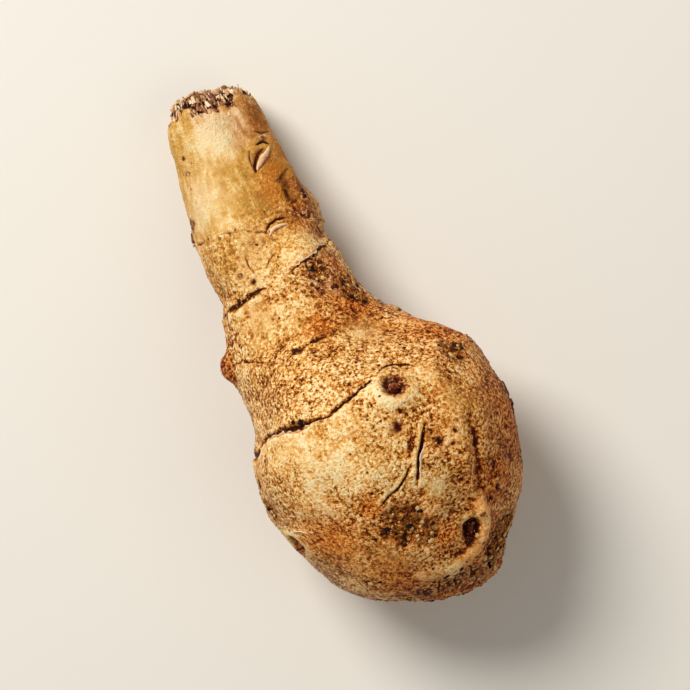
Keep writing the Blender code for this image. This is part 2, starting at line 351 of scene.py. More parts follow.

# %% Rubbed, bared and smooth patches, some of them partly painted light
PALE = {  # place, radius (mm): rubbed down to cream; on the left of the body and the neck, which face the lamp, and near the broken end, the cream is partly painted light
    "rub_crack": (from_above(2.7, -3.4), 1.1),
    "rub_crack_low": (from_above(3.2, -5.0), 1.7),
    "rub_powder": (from_above(3.9, -6.6), 1.8),
    "rub_right": (from_above(8.8, 8.2), 2.2),
    "rub_gold": (from_above(4.2, 16.8), 2.8),
    "rub_left": (from_above(-12.6, 7.2), 3.6),
    "rub_left_low": (from_above(-8.0, 5.0), 4.0),
    "rub_middle": (from_above(-3.0, 3.0), 5.0),
    "rub_low_left": (from_above(-11.5, 0.5), 4.0),
    "rub_neck": (from_above(-6.5, 24.5), 4.2),
    "rub_end": (from_above(-4.4, 49.4), 3.4),
    "rub_end_right": (from_above(0.4, 49.6), 2.6),
    "rub_end_low": (from_above(-3.0, 47.6), 2.2),
    "rub_neck_left": (on_skin(43.0, 134), 4.2),
    "rub_neck_top": (on_skin(38.5, 138), 3.6),
    "rub_neck_low": (from_above(-4.5, 33.0), 3.2),
    "rub_bud": (from_above(2.8, 46.7), 0.7),
    "rub_fleck": (from_above(-16.0, -3.4), 1.0),
    "rub_fleck_right": (from_above(-14.4, -3.9), 0.8),
}
PINK = {  # place, radius (mm): bared of skin, and pinkish
    "pink_end": (from_above(1.6, 49.2), 3.2),
    "pink_curl": (from_above(1.6, 44.4), 1.4),
    "pink_fold": (from_above(4.2, 38.2), 2.6),
    "pink_fold_low": (from_above(4.0, 34.8), 2.4),
    "pink_scab": (from_above(2.2, 25.8), 3.2),
    "pink_rim": (from_above(-2.6, 52.4), 3.4),
    "pink_rim_right": (from_above(3.0, 51.6), 2.6),
    "pink_tip": (on_skin(-19.0, 40), 3.4),
}
SMOOTH = {  # place, radius (mm): waxy skin with few speckles
    "smooth_low_left": (from_above(-11.0, -8.8), 3.4),
    "smooth_left": (from_above(-6.0, -11.6), 2.6),
    "smooth_right": (from_above(12.2, 3.0), 3.0),
    "smooth_base": (from_above(-3.0, 21.5), 3.6),
    "smooth_base_left": (from_above(-8.6, 22.6), 3.0),
    "smooth_gold": (from_above(4.2, 16.8), 2.6),
}
print(len(PALE), "rubbed patches,", len(PINK), "bared ones and", len(SMOOTH), "smooth ones")

# %% Browner patches, partly painted shade, and patches of painted light and shade
BROWN_AND_SHADE = {  # place, radius (mm): browner skin, partly painted shade where the right side, the underside and the neck's right side turn from the lamp, and by the neck's foot, where another tuber cast its shadow
    "earth_neck_foot": (from_above(4.8, 21.6), 4.4),
    "earth_foot_left": (from_above(-0.8, 20.0), 2.4),
    "earth_right": (on_skin(-1.0, 12), 10.8),
    "earth_low_right": (from_above(11.5, -9.0), 6.0),
    "earth_bottom": (on_skin(-15.0, 120), 5.6),
    "earth_far_shoulder": (on_skin(12.0, 14), 7.0),
    "earth_low_left": (from_above(-11.5, -7.0), 5.0),
    "earth_low": (from_above(-5.0, -13.6), 3.0),
    "earth_neck_right": (on_skin(44.0, 2), 4.0),
    "earth_red": (from_above(-5.0, -4.6), 2.0),
    "earth_soil": (from_above(-1.2, -9.2), 4.2),
    "earth_below_eye": (from_above(2.4, -12.3), 2.6),
    "earth_tip": (on_skin(-16.6, 40), 6.0),
    "earth_side": (from_above(2.7, 39.2), 3.4),
    "earth_side_low": (from_above(3.4, 35.0), 3.4),
    "earth_neck_side": (from_above(2.6, 41.6), 3.4),
    "earth_neck_middle": (from_above(1.0, 39.0), 2.6),
    "earth_bud_side": (from_above(4.2, 43.4), 2.8),
    "earth_end_right": (from_above(3.4, 48.8), 2.2),
    "earth_scab": (from_above(4.4, 26.4), 2.6),
    "earth_under": (on_skin(0.0, 270), 14.0),
    "earth_low_neck": (on_skin(30.0, 265), 9.0),
}
SHADE = {  # place, radius, how much lighter (a share of the range of tones): painted light and shade; shade_foot is a painted shadow and shade_rim a painted reflection
    "shade_foot": (from_above(6.0, 18.0), 3.0, -0.14),
    "shade_low": (from_above(-5.0, -13.0), 4.5, 0.16),
    "shade_shoulder": (from_above(14.0, 9.0), 3.5, 0.12),
    "shade_left": (from_above(-11.0, 5.0), 4.0, 0.06),
    "shade_rim": (from_above(-4.0, 51.0), 2.6, 0.30),
}
print(len(BROWN_AND_SHADE), "brown patches and", len(SHADE), "lighter or darker ones")

# %% Cracks
CRACKS = {  # points of the plan (mm), depth, height of the lip on its right
    "crack_long": (((5.9, 2.3), (4.7, 0.4), (3.3, -1.5), (1.75, -4.4)), 0.60, 0.34),
    "crack_short": (((1.6, -2.0), (0.9, -2.8), (-0.7, -3.8), (-2.6, -4.3), (-4.6, -5.3)), 0.26, 0.14),
    "crack_over_eye": (((2.6, 10.6), (4.0, 11.4), (5.6, 11.3), (7.4, 10.4), (8.7, 9.0)), 0.20, 0.0),
    "crack_tip_left": (((-0.6, -17.4), (-1.4, -18.4), (-1.8, -19.4)), 0.22, 0.10),
    "crack_tip": (((1.6, -17.6), (0.9, -18.6), (0.8, -19.8)), 0.26, 0.12),
    "crack_tip_right": (((4.4, -17.2), (3.5, -18.2), (3.3, -19.3)), 0.26, 0.12),
    "crack_bud": (((2.3, 45.2), (1.3, 44.8), (0.6, 44.1), (0.0, 43.1), (-0.1, 42.4)), 0.34, 0.0),
    "crack_bud_left": (((0.3, 45.8), (-0.2, 44.4), (-0.3, 43.3)), 0.12, 0.06),
    "crack_bud_top": (((1.4, 46.0), (2.5, 46.1), (3.2, 45.3)), 0.34, 0.0),
    "crack_bud_high": (((2.1, 47.8), (2.9, 47.2), (3.9, 47.0)), 0.24, 0.0),
    "crack_ring": (((-2.4, 34.4), (-1.5, 35.2), (-0.3, 35.5), (1.0, 35.2)), 0.36, 0.0),
    "crack_neck_left": (((-6.3, 33.1), (-6.4, 31.2), (-6.0, 29.6)), 0.12, 0.05),
    "crack_neck_right": (((-2.5, 31.3), (-3.6, 30.8), (-4.6, 29.7)), 0.12, 0.05),
}
print(len(CRACKS), "cracks")


# %% Ridges, folds and the dent
class Ridge:
    """A raised line on the skin, its crest painted paler, partly wear and partly a painted highlight. Its
    right foot may lie in a hollow painted dark, a painted shade.
    """

    def __init__(self, plan, height, half_width, pale=0.0, pink=0.0, foot=0.0):
        self.plan = plan  # points of the plan (mm)
        self.height, self.half_width = height, half_width  # mm
        self.pale, self.pink, self.foot = pale, pink, foot


RIDGES = {
    "ridge_tip": Ridge(
        ((-2.5, -16.1), (1.3, -16.6), (4.7, -15.9), (7.8, -13.2), (8.5, -10.4), (8.7, -8.0)),
        0.55, 1.1, pale=1.6,
    ),
    "swelling": Ridge(
        ((9.3, 9.4), (10.1, 5.5), (9.9, 1.7), (9.4, -3.0), (9.1, -6.6)),
        0.75, 1.9, pale=0.45,
    ),
    "fold_right": Ridge(
        ((2.6, 43.0), (4.1, 41.2), (3.9, 38.8), (3.9, 37.4), (4.1, 35.6), (4.3, 33.6)),
        0.65, 1.2, pink=0.6, foot=0.75,
    ),
    "fold_tip": Ridge(
        ((3.0, -18.4), (6.0, -17.6), (8.8, -15.2)),
        0.40, 0.55, pink=0.6, foot=0.7,
    ),
}
DENT = ((12.0, 0.7), (11.2, -2.4), (10.0, -6.0), (8.7, -9.5))  # points of the plan (mm)
DENT_DEPTH, DENT_HALF_WIDTH = 0.55, 0.9  # mm
print(len(RIDGES), "ridges and folds, and a dent")

# %% [markdown]
# ## The creases of the rings
# A scale leaf once went round the tuber at every ring, and it left a crease where it sat. No
# crease is even: it is deep at the side, fades out on the top and wanders off its ring. So each
# has profiles round the tuber. A profile gives a value at a few bearings, and the values
# between them are blended.


# %% How each crease changes round the tuber
class Crease:
    """A groove with a lip. Each profile is pairs of bearing (degrees) and value."""

    def __init__(self, depth, lip, strength, drift=(0, 0), overlap=(0, 0)):
        self.depth, self.lip = depth, lip  # mm
        self.strength = strength  # 0 where the crease has faded out
        self.drift = drift  # mm along Y from the ring
        self.overlap = overlap  # 1 where the neck's side stands proud, not the body's


def read_round(profile, bearing):
    return np.interp(bearing, profile[0::2], profile[1::2], period=360)


RING_CREASES = {
    "tip": Crease(0.10, 0.10, strength=(0, 0.5, 90, 0.3, 180, 0.6, 270, 0.5)),
    "shoulder": Crease(
        0.50, 0.30,
        strength=(0, 0.3, 50, 0, 82, 0, 86, 0.6, 105, 0.7, 120, 0.9, 150, 1.4, 180, 1.3, 200, 0.7),
        drift=(
            40, 0, 63, 0.3, 85, 1, 91, 0.8, 101, -0.3, 111, -0.8, 124, -0.6,
            137, 0.6, 150, 1, 158, 0.5, 170, -1.0, 185, -1.8, 200, -1.6,
        ),
    ),
    "neck_base": Crease(
        0.32, 0.18,
        strength=(
            0, 0.4, 20, 0.3, 60, 0.1, 80, 0.1, 88, 1.2, 103, 1.2,
            108, 0.4, 120, 0.15, 140, 0.4, 160, 0.6, 270, 0.5,
        ),
        drift=(19, -1.0, 73, -0.6, 84, -0.9, 115, -1.1, 126, -0.2, 148, 1.1, 200, 0),
    ),
    "lower_neck": Crease(
        0.30, 0.26,
        strength=(
            0, 0.6, 20, 0.6, 39, 0.7, 59, 0.6, 75, 0.4, 90, 0.15,
            104, 0.3, 112, 1.0, 139, 1.1, 170, 0.7, 270, 0.4,
        ),
        drift=(0, 0, 39, -0.4, 59, -1.9, 71, -1.9, 88, -1.3, 109, -0.4, 139, -0.9, 200, -0.2),
        overlap=(0, 0.5, 30, 1, 75, 1, 95, 0.3, 120, 0, 300, 0),
    ),
    "upper_neck": Crease(
        0.22, 0.10,
        strength=(
            0, 0.5, 30, 0.4, 60, 0.05, 78, 0.1, 84, 0.4, 97, 0.5,
            115, 0.4, 130, 0.3, 160, 0.6, 270, 0.4,
        ),
        drift=(30, 0, 61, -0.9, 72, -1.1, 82, -2.4, 97, -1.3, 115, -1.3, 128, -1.7, 180, -0.5),
        overlap=(60, 0, 72, 1, 90, 1, 105, 0),
    ),
    "end": Crease(0.05, 0.02, strength=(0, 0.5)),
}
print(len(RING_CREASES), "creases, the deepest", max(ring.depth for ring in RING_CREASES.values()), "mm")

# %% [markdown]
# ## Smaller faces where the detail goes
# A crease needs smaller faces than the smooth skin beside it, and small faces everywhere would
# be too many to work with. So the faces near a mark or a crease are split once, before
# anything is sculpted, and the rest stay as they are.


# %% How far a point is from a mark or a path
def path_on_skin(plan):
    return [from_above(x, y)[0] for x, y in plan]


def path_distance(points, path):
    """Distance to a path, the share of its length passed, and the side (+ is right of it)."""
    nearest = np.full(len(points), 1e9)
    passed, side = np.zeros(len(points)), np.zeros(len(points))
    for number, (start, end) in enumerate(zip(path, path[1:])):
        start, span = np.array(start), np.array(end - start)
        t = np.clip((points - start) @ span / (span @ span), 0, 1)
        away = points - start - t[:, None] * span
        distance = np.linalg.norm(away, axis=1)
        closer = distance < nearest
        nearest[closer] = distance[closer]
        passed[closer] = ((number + t) / (len(path) - 1))[closer]
        side[closer] = np.sign(away[:, 1] * span[0] - away[:, 0] * span[1])[closer]
    return nearest, passed, -side


def distance_to(points, place):
    return np.linalg.norm(points - np.array(place[0]), axis=1)


# %% Split the faces near the marks
RING_REACH = 0.8  # mm
CRACK_REACH = 0.7  # mm
FOLD_REACH = 1.6  # of its half width
END_REACH = 5.0  # mm beyond the last ring


def needs_detail(points):
    """True for points near a crease, an eye, a bud, a scab, a crack or the broken end."""
    bearing, across, up = round_coordinates(points)
    near = points[:, 1] > RINGS["end"][0] + END_REACH
    for name, ring in RING_CREASES.items():
        line = ring_line(*RINGS[name], bearing, across, up) + read_round(ring.drift, bearing)
        near |= np.abs(points[:, 1] - line) < RING_REACH
    for place, radius, *_ in [*EYES.values(), *BUDS.values(), *SCABS.values(), CLOSED_BUD]:
        near |= distance_to(points, place) < radius
    for plan, _, _ in CRACKS.values():
        near |= path_distance(points, path_on_skin(plan))[0] < CRACK_REACH
    for ridge in RIDGES.values():
        if ridge.foot:
            away, _, _ = path_distance(points, path_on_skin(ridge.plan))
            near |= away < FOLD_REACH * ridge.half_width
    return near


def split_near_marks(mesh):
    chosen = needs_detail(points_of(mesh))
    work = bmesh.new()
    work.from_mesh(mesh)
    edges = [edge for edge in work.edges if all(chosen[v.index] for v in edge.verts)]
    bmesh.ops.subdivide_edges(work, edges=edges, cuts=1, use_grid_fill=True, smooth=0.0)
    work.to_mesh(mesh)
    work.free()


split_near_marks(skin.data)
skin.data.calc_loop_triangles()
print("skin has", len(skin.data.loop_triangles), "triangles")

# %% [markdown]
# ## Sculpting the skin
# Each helper returns a number for every point of the skin. The numbers are weighed and summed
# to a height, which in the end moves each point along its normal. Masks made on the way (where
# it is soil, cork, scuffed or creased, and where light and shade are painted) are kept as
# attributes, so that the colours fall exactly on the forms.


# %% Fields of unevenness
def uneven(points, size, seed=0, octaves=1, stretch=(1, 1, 1)):
    """Soft unevenness from about -1 to 1, with bumps of a size in mm."""
    scaled = points / (np.array(stretch) * size) + 31.7 * seed
    if octaves == 1:
        return np.array([noise.noise(p) for p in scaled])
    return np.array([noise.fractal(p, 1.0, 2.0, octaves) for p in scaled])


def pebbles(points, size, seed=0):
    """Round grains packed side by side: 1 on each grain, 0 between them."""
    scaled = points / size + 31.7 * seed
    return np.array([1.0 - min(1.0, 1.4 * noise.voronoi(p)[0][0]) for p in scaled])


def bell(distance, width):
    return np.exp(-((distance / width) ** 2))


def step(value, start, end):
    """0 before start, 1 after end, smooth between."""
    t = np.clip((value - start) / (end - start), 0, 1)
    return t * t * (3 - 2 * t)


P = points_of(skin.data)
N = normals_of(skin.data)
BEARING, ACROSS, UP = round_coordinates(P)
ragged = uneven(P, 0.9, 3)
mottle = uneven(P, 3.2, 5, octaves=3)
height = np.zeros(len(P))
crease = np.zeros(len(P))
soil = np.zeros(len(P))
cork = np.zeros(len(P))
scuffed = np.zeros(len(P))
earthy = np.zeros(len(P))
shade = np.zeros(len(P))
pink = np.zeros(len(P))
print("fields ready for", len(P), "points")

# %% [markdown]
# ### Creases
# Where a leaf sat, the skin steps down. A bell curve across the line makes the groove. Beside
# it stands a lip, which fades away over about a millimetre: on the body's side, or on the
# neck's side where the skin overlaps. Slow noise round the tuber breaks each crease up.

# %% Creases where a scale leaf went round
GROOVE_WIDTH = 0.26  # mm
LIP_LENGTH = 0.9  # mm
RAGGED_BY, WANDERS_BY = 0.22, 0.30  # mm


def crease_line(name, ring):
    """How far along Y the crease of a ring is, at the bearing of each point of the skin."""
    return ring_line(*RINGS[name], BEARING, ACROSS, UP) + read_round(ring.drift, BEARING)


for number, (name, ring) in enumerate(RING_CREASES.items()):
    beyond = P[:, 1] - crease_line(name, ring) - RAGGED_BY * ragged - WANDERS_BY * mottle
    breaks = [1.0 + 1.2 * noise_round(5 * degrees, 9.0 + number) for degrees in range(361)]
    strength = read_round(ring.strength, BEARING) * np.interp(BEARING, range(361), breaks)
    strength = np.maximum(strength, 0)
    overlap = read_round(ring.overlap, BEARING)
    groove = bell(beyond, GROOVE_WIDTH * (0.5 + 0.9 * strength)) * np.minimum(strength, 1.3)
    proud = step(-beyond, 0.0, 0.35) * (1 - overlap) + step(beyond, -0.05, 0.25) * overlap
    height -= ring.depth * groove
    height += ring.lip * strength * proud * np.exp(-np.abs(beyond) / LIP_LENGTH)
    # Painted shade: the crease mask only darkens the groove's colour. The lip is painted paler, partly
    # wear and partly a painted highlight, and the soil band on the groove's other side is partly painted
    # shade.
    crease = np.maximum(crease, np.clip(groove * ring.depth / 0.3, 0, 1))
    scuffed += 4.5 * ring.lip * strength * proud * np.exp(-np.abs(beyond) / (0.6 + strength))
    soil += 0.4 * strength * (1 - proud) * np.exp(-np.abs(beyond) / 1.2)
print("creased:", round(float((crease > 0.5).mean()), 3), "of the points")

# %% [markdown]
# ### Eyes and buds
# An eye is a pit inside a collar, and the collar is fuller on one side, where the skin swelled
# round the shoot. A bud is a low mound, and its scales come later. The closed bud is a smooth
# long dome: it clears the relief under it away before it rises.

# %% Sculpt the eyes
# A collar is fullest towards here, or away from here where its height is given below 0. Its rim is
# painted lighter on that side, a painted highlight.
COLLAR_SIDE = np.array((-0.62, -0.78, 0.0))
SLANT = 0.35  # a long eye leans towards +X by this much of its length
for place, radius, collar, pit, longer in EYES.values():
    toward = P - np.array(place[0])
    toward[:, 0] -= SLANT * (longer - 1) * toward[:, 1]
    toward[:, 1] /= longer
    away = np.linalg.norm(toward, axis=1)
    fullness = 0.5 + 0.5 * np.sign(collar) * (toward @ COLLAR_SIDE) / np.maximum(away, 0.1)
    away = away * (1 + 0.14 * ragged + 0.12 * mottle)
    height += abs(collar) * fullness * bell(away - radius, 0.42 * radius)
    height -= pit * step(-away, -1.0 * radius, -0.3 * radius)
    # Painted shade darkens the pit, and a painted highlight lightens the collar's rim on its fuller side.
    crease = np.maximum(crease, 0.7 * step(-away, -1.1 * radius, -0.3 * radius))
    scuffed += 2.0 * fullness * bell(away - 1.15 * radius, 0.28 * radius)
    cork += 1.2 * bell(away, 0.85 * radius)
print("deepest pit:", round(float(height.min()), 2), "mm")

# %% Sculpt the buds
for place, radius, tall in BUDS.values():
    away = distance_to(P, place) * (1 + 0.15 * ragged)
    height += tall * bell(away, 0.8 * radius)
    cork += 1.4 * bell(away, 0.95 * radius)
    # Painted shade: a dark ring round the foot of each bud.
    crease = np.maximum(crease, 0.7 * bell(away - radius, 0.3))
place, radius, tall = CLOSED_BUD
toward = P - np.array(place[0])
toward[:, 1] /= CLOSED_BUD_LENGTH
away = np.linalg.norm(toward, axis=1) / radius
closed = step(1 - away, 0, 0.3)
height = height * (1 - closed) + tall * step(1 - away, 0, 0.9)
# Painted shade darkens a ring round the closed bud's foot, and the whole dome is painted darker, partly
# its own red brown and partly painted shade.
crease = np.maximum(crease * (1 - closed), 0.6 * bell(away - 1.05, 0.14) + 0.45 * closed)
pink = np.maximum(pink, 0.6 * closed)
earthy = np.maximum(earthy, closed)
print("the closed bud covers", int((closed > 0).sum()), "points")

# %% [markdown]
# ### Cracks, ridges and the dent
# Dry skin splits in narrow cracks with one edge lifted, and flesh that swells below it pushes
# up ridges and folds. All of them follow a path over the skin, so one measure serves them all:
# how far a point is from the path, how much of it is passed, and on which side the point is.


# %% Sculpt the cracks
CRACK_HALF_WIDTH = 0.12  # mm, and more in a deep crack
CRACK_LIP_AT = 0.35  # mm beside the crack


def taper(passed, ends=0.03):
    """1 along the middle of a path, and down to its ends."""
    return np.sin(np.pi * np.clip(passed, ends, 1 - ends)) ** 0.5


for plan, depth, lip in CRACKS.values():
    away, passed, side = path_distance(P, path_on_skin(plan))
    away = away * (1 + 0.35 * ragged)
    width = CRACK_HALF_WIDTH + 0.25 * depth
    right = taper(passed) * (side > 0)
    height -= depth * taper(passed) * bell(away, width)
    height += lip * right * bell(away - CRACK_LIP_AT, CRACK_LIP_AT)
    # Painted shade darkens the crack, and its lip is painted paler, partly dust and wear and partly a
    # painted highlight.
    crease = np.maximum(crease, min(1, 2 * depth + 0.3) * taper(passed) * bell(away, width))
    scuffed += 8.0 * lip * right * bell(away - CRACK_LIP_AT - 0.10, CRACK_LIP_AT)
print("sculpted", len(CRACKS), "cracks")

# %% Sculpt the ridges, the folds and the dent
FOOT_AT, FOOT_WIDTH = 1.5, 0.7  # of the ridge's half width
for ridge in RIDGES.values():
    away, passed, side = path_distance(P, path_on_skin(ridge.plan))
    away = away * (1 + 0.15 * ragged + 0.2 * mottle)
    crest = taper(passed, 0.05) * bell(away, ridge.half_width)
    hollow_beside = bell(away - FOOT_AT * ridge.half_width, FOOT_WIDTH * ridge.half_width)
    foot = ridge.foot * taper(passed) * (side > 0) * hollow_beside
    height += ridge.height * (crest - 0.6 * foot)
    # Painted shade: the hollow at the foot is darkened and browned. The crest is painted paler, partly
    # wear and partly a painted highlight.
    crease = np.maximum(crease, 0.5 * foot)
    earthy = np.maximum(earthy, foot)
    scuffed += ridge.pale * crest
    pink += ridge.pink * crest
away, passed, _ = path_distance(P, path_on_skin(DENT))
dent = taper(passed, 0.02) * bell(away * (1 + 0.3 * mottle), DENT_HALF_WIDTH)
height -= DENT_DEPTH * dent
# Painted shade darkens and browns the dent.
earthy += 0.9 * dent
crease = np.maximum(crease, 0.25 * dent)
print("highest so far:", round(float(height.max()), 2), "mm")

# %% [markdown]
# ### Scabs, soil and patches of colour
# No patch on a tuber is round. So a point's distance from the middle of a patch is first
# stretched and shrunk by two kinds of unevenness, and only then set against the radius. Scabs
# and soil also get packed grains, with the gaps between them painted dark as shade, and each
# scar's pit is painted dark too. The patches of colour move nothing: they only fill the masks,
# and some of them paint light and shade.

# %% Scabs, soil and scars
coarse_grains = pebbles(P, 0.85, 6)
gaps = step(0.32 - coarse_grains, 0.0, 0.3)
wrinkles = uneven(P, 0.75, 14, stretch=(0.9, 3.0, 0.9))
for place, radius in SCABS.values():
    patch = step(radius - distance_to(P, place) * (1 + 0.3 * ragged + 0.3 * mottle), 0.0, 1.2)
    height += patch * (0.20 * (coarse_grains - 0.4) + 0.22 * wrinkles)
    cork = np.maximum(cork, patch)
    crease = np.maximum(crease, 0.6 * patch * gaps)
for place, radius, depth in SOIL.values():
    patch = step(radius - distance_to(P, place) * (1 + 0.35 * mottle + 0.1 * ragged), 0.0, 1.6)
    height += patch * (0.12 * (coarse_grains - 0.4) - depth)
    soil = np.maximum(soil, patch)
    crease = np.maximum(crease, 0.9 * min(1, 4 * depth) * patch * gaps)
for place, radius, depth in SCARS.values():
    away = distance_to(P, place) * (1 + 0.5 * ragged + 0.4 * mottle)
    height += 0.4 * depth * bell(away - radius, 0.35 * radius) - depth * bell(away, 0.5 * radius)
    crease = np.maximum(crease, 0.8 * bell(away, 0.45 * radius))
    cork = np.maximum(cork, 0.8 * bell(away, 1.1 * radius))
    scuffed += 0.6 * bell(away - 1.1 * radius, 0.35 * radius)
print("scabs cover", round(float((cork > 0.5).mean()), 3), "of the points")


# %% Patches of colour
def patch_at(place, radius):
    """1 in the middle of a patch, fading away past its radius, with an uneven edge."""
    return bell(distance_to(P, place) * (1 + 0.3 * mottle), radius)


for place, radius in PALE.values():
    scuffed += 0.75 * patch_at(place, radius)
for place, radius in BROWN_AND_SHADE.values():
    earthy = np.maximum(earthy, patch_at(place, radius))
for place, radius, lighter in SHADE.values():
    shade += lighter * patch_at(place, radius)
for place, radius in PINK.values():
    pink = np.maximum(pink, patch_at(place, radius))
print("browner skin covers", round(float((earthy > 0.5).mean()), 3), "of the points")

# %% [markdown]
# ### The two ends
# The growing tip is knobbly, corky and soiled. The other end is where the neck broke off its
# stem: the flesh there is torn into lumps, and it ends at a ragged line round the neck.

# %% The growing tip and the broken end
KNOBBLY_PAST = (15.6, 18.6)  # mm from the origin towards the tip: where it starts, where it is full
BROWN_PAST = (18.4, 20.2)  # mm, the same way
BREAK_PAST_RING = 6.7  # mm from the last ring
at_tip = step(-P[:, 1], *KNOBBLY_PAST)
height += at_tip * (0.34 * (pebbles(P, 1.9, 7) - 0.4) + 0.16 * (coarse_grains - 0.4))
soil += 0.45 * at_tip
cork += 0.4 * at_tip
earthy += 0.8 * step(-P[:, 1], *BROWN_PAST)
end_y, end_lean_x, end_lean_z = RINGS["end"]
end_line = end_y + BREAK_PAST_RING + end_lean_x * ACROSS + end_lean_z * UP
torn = step(P[:, 1] - end_line - 1.1 * mottle - 0.5 * ragged, -0.9, 0.5)
lumps = pebbles(P, 1.2, 15)
height += torn * (0.50 * (lumps - 0.5) + 0.12 * ragged - 0.50)
# Painted shade darkens the gaps between the torn lumps.
crease = np.maximum(crease, 0.8 * torn * step(0.40 - lumps, 0.0, 0.3))
print("torn end covers", round(float(torn.mean()), 3), "of the points")

# %% [markdown]
# ### Grain and wrinkles
# The body's skin is grainy. The young skin of the neck is smooth and waxy, with fine wrinkles
# round it and along it. So every layer of noise is weighed by how far a point is up the neck,
# and noise stretched one way makes the wrinkles.

# %% Grain and wrinkles of the whole skin
NECK_FROM, NECK_TO = 20.0, 34.0  # mm along Y
WAXY_STEPS = ((0.4, 27.0, 31.0), (0.6, 35.5, 39.0))  # share, from, to (mm along Y)
WAXY_PATCH = 0.45  # how waxy a smooth patch of the body is
on_neck = step(P[:, 1], NECK_FROM, NECK_TO)
smooth_neck = sum(share * step(P[:, 1], *reach) for share, *reach in WAXY_STEPS) * (1 - torn)
for place, radius in SMOOTH.values():
    smooth_neck = np.maximum(smooth_neck, WAXY_PATCH * patch_at(place, radius))
grain = pebbles(P, 0.62, 8)
round_neck = uneven(P, 0.8, 10, stretch=(3.5, 0.8, 3.5))
along_neck = uneven(P, 0.9, 11, stretch=(0.8, 5.0, 0.8))
height += (0.055 - 0.035 * smooth_neck) * (grain - 0.35) * (1 + 0.5 * mottle)
height += (0.13 - 0.08 * smooth_neck) * uneven(P, 1.6, 9, octaves=2)
height += 0.05 * round_neck * (0.4 + 0.6 * on_neck)
height += 0.04 * along_neck * (0.3 + 0.7 * on_neck)
height += 0.20 * uneven(P, 4.5, 12)
print("relief from", round(height.min(), 2), "to", round(height.max(), 2), "mm")

# %% [markdown]
# ## Moving the skin, and keeping it in its room
# The relief moves each point along its normal. The solid's box is the most room the tuber may
# take, so the skin is then drawn in by the small amount by which it grew, and what would sink
# below the ground is pressed flat again.


# %% Draw points into the room
MARGIN = 0.12  # mm, left for the grains that sit on the skin


def fitted(points):
    """The points drawn into the solid's box, on the ground."""
    low, high = points.min(axis=0), points.max(axis=0)
    for axis in (0, 1):
        middle = (low[axis] + high[axis]) / 2
        room = (ROOM_LOW[axis] + ROOM_HIGH[axis]) / 2
        share = (ROOM_HIGH[axis] - ROOM_LOW[axis] - 2 * MARGIN) / (high[axis] - low[axis])
        points[:, axis] = room + min(1.0, share) * (points[:, axis] - middle)
    points[:, 2] *= min(1.0, (ROOM_HIGH[2] - MARGIN) / high[2])
    points[:, 2] = np.maximum(points[:, 2], 0.0)
    return points


# %% Apply the relief
BREAK_FROM, BREAK_TO = 50.0, 54.0  # mm along Y
BREAK_LONGER, PEAK_LONGER = 0.7, 0.9  # mm
PEAK_X, PEAK_WIDTH = -4.8, 2.2  # mm: the break runs slantwise, and is longest here
LUMP_STEP = 0.3  # mm
peak = bell(P[:, 0] - PEAK_X, PEAK_WIDTH)
moved = P + height[:, None] * N
moved[:, 1] += step(P[:, 1], BREAK_FROM, BREAK_TO) * (BREAK_LONGER + PEAK_LONGER * peak)
moved[:, 1] = np.minimum(moved[:, 1], ROOM_HIGH[1] - MARGIN - LUMP_STEP * torn * (1 - lumps))
moved = fitted(moved)
set_points(skin.data, moved)
print("skin from", moved.min(axis=0).round(1), "to", moved.max(axis=0).round(1), "mm")

# %% [markdown]
# ## Masks for growing and for colouring
# Each mask is a number on every point of the skin, stored as an attribute by name. Four of them
# say how thickly crust, flakes, soil and fibres grow. The others tell the skin's material where
# to change its colour. The crease and hollow masks only darken the colour, as painted shade, and
# the masks of scuffed skin, of browner skin and of shade partly paint light and shade. The last
# finds hollows: there the smoothed skin lies above the real one, and the skin is painted darker.

# %% Store the masks on the skin
HOLLOW_ROUNDS = 12
FULL_HOLLOW = 0.1  # mm
# Painted shade: this mask only darkens the skin's colour in its hollows.
hollow = np.einsum("ij,ij->i", relaxed(moved, edges_of(skin.data), HOLLOW_ROUNDS) - moved, N)
off_the_ground = step(moved[:, 2], 0.3, 0.9)
crust = 0.30 + 0.35 * mottle + 0.4 * earthy + 0.4 * soil - 0.4 * scuffed - 0.3 * smooth_neck - closed
flaking = 0.35 * scuffed + 0.7 * cork + 0.25 * earthy + 0.2 * mottle - 0.4 - 0.3 * smooth_neck
MASKS = {
    "crust": np.clip(crust, 0.02, 1.0) * off_the_ground * (1 - torn),
    "flaking": np.clip(flaking, 0.0, 1.0) * off_the_ground * (1 - torn),
    "soiling": np.clip(1.2 * soil - 0.25, 0.0, 1.0) * off_the_ground * (1 - torn),
    "tearing": torn * off_the_ground,
    "crease": crease,
    "soil": soil,
    "cork": cork,
    "scuffed": scuffed,
    "earthy": earthy,
    "shade": shade,
    "pink": pink,
    "torn": torn,
    "neck": smooth_neck,
    "hollow": hollow / FULL_HOLLOW,
}
for name, values in MASKS.items():
    layer = skin.data.attributes.new(name, "FLOAT", "POINT")
    layer.data.foreach_set("value", np.clip(values, -1, 1.5))
print("stored", len(MASKS), "masks")

# %% The skin rides on the root and stands in for the solid
skin.data.shade_smooth()
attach(skin, "root")
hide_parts("tuber")

# %% [markdown]
# ## Node maths written as Python
# A skin's colour is a long sum of masks. Wiring it by hand takes dozens of Math nodes, so a
# small class wraps a socket, and an expression such as `1 - mask * 0.5` adds the nodes itself.


# %% A socket that can be used in sums
def node(tree, kind, settings=None, inputs=None, output=0):
    """Adds a node: its settings first, then the values or links of its sockets."""
    made = tree.nodes.new(kind)
    for name, value in (settings or {}).items():
        if name == "stops":
            set_stops(made.color_ramp, value)
        else:
            setattr(made, name, value)
    for name, value in (inputs or {}).items():
        if isinstance(value, Field):
            tree.links.new(value.socket, made.inputs[name])
        else:
            made.inputs[name].default_value = value
    return Field(tree, made.outputs[output])


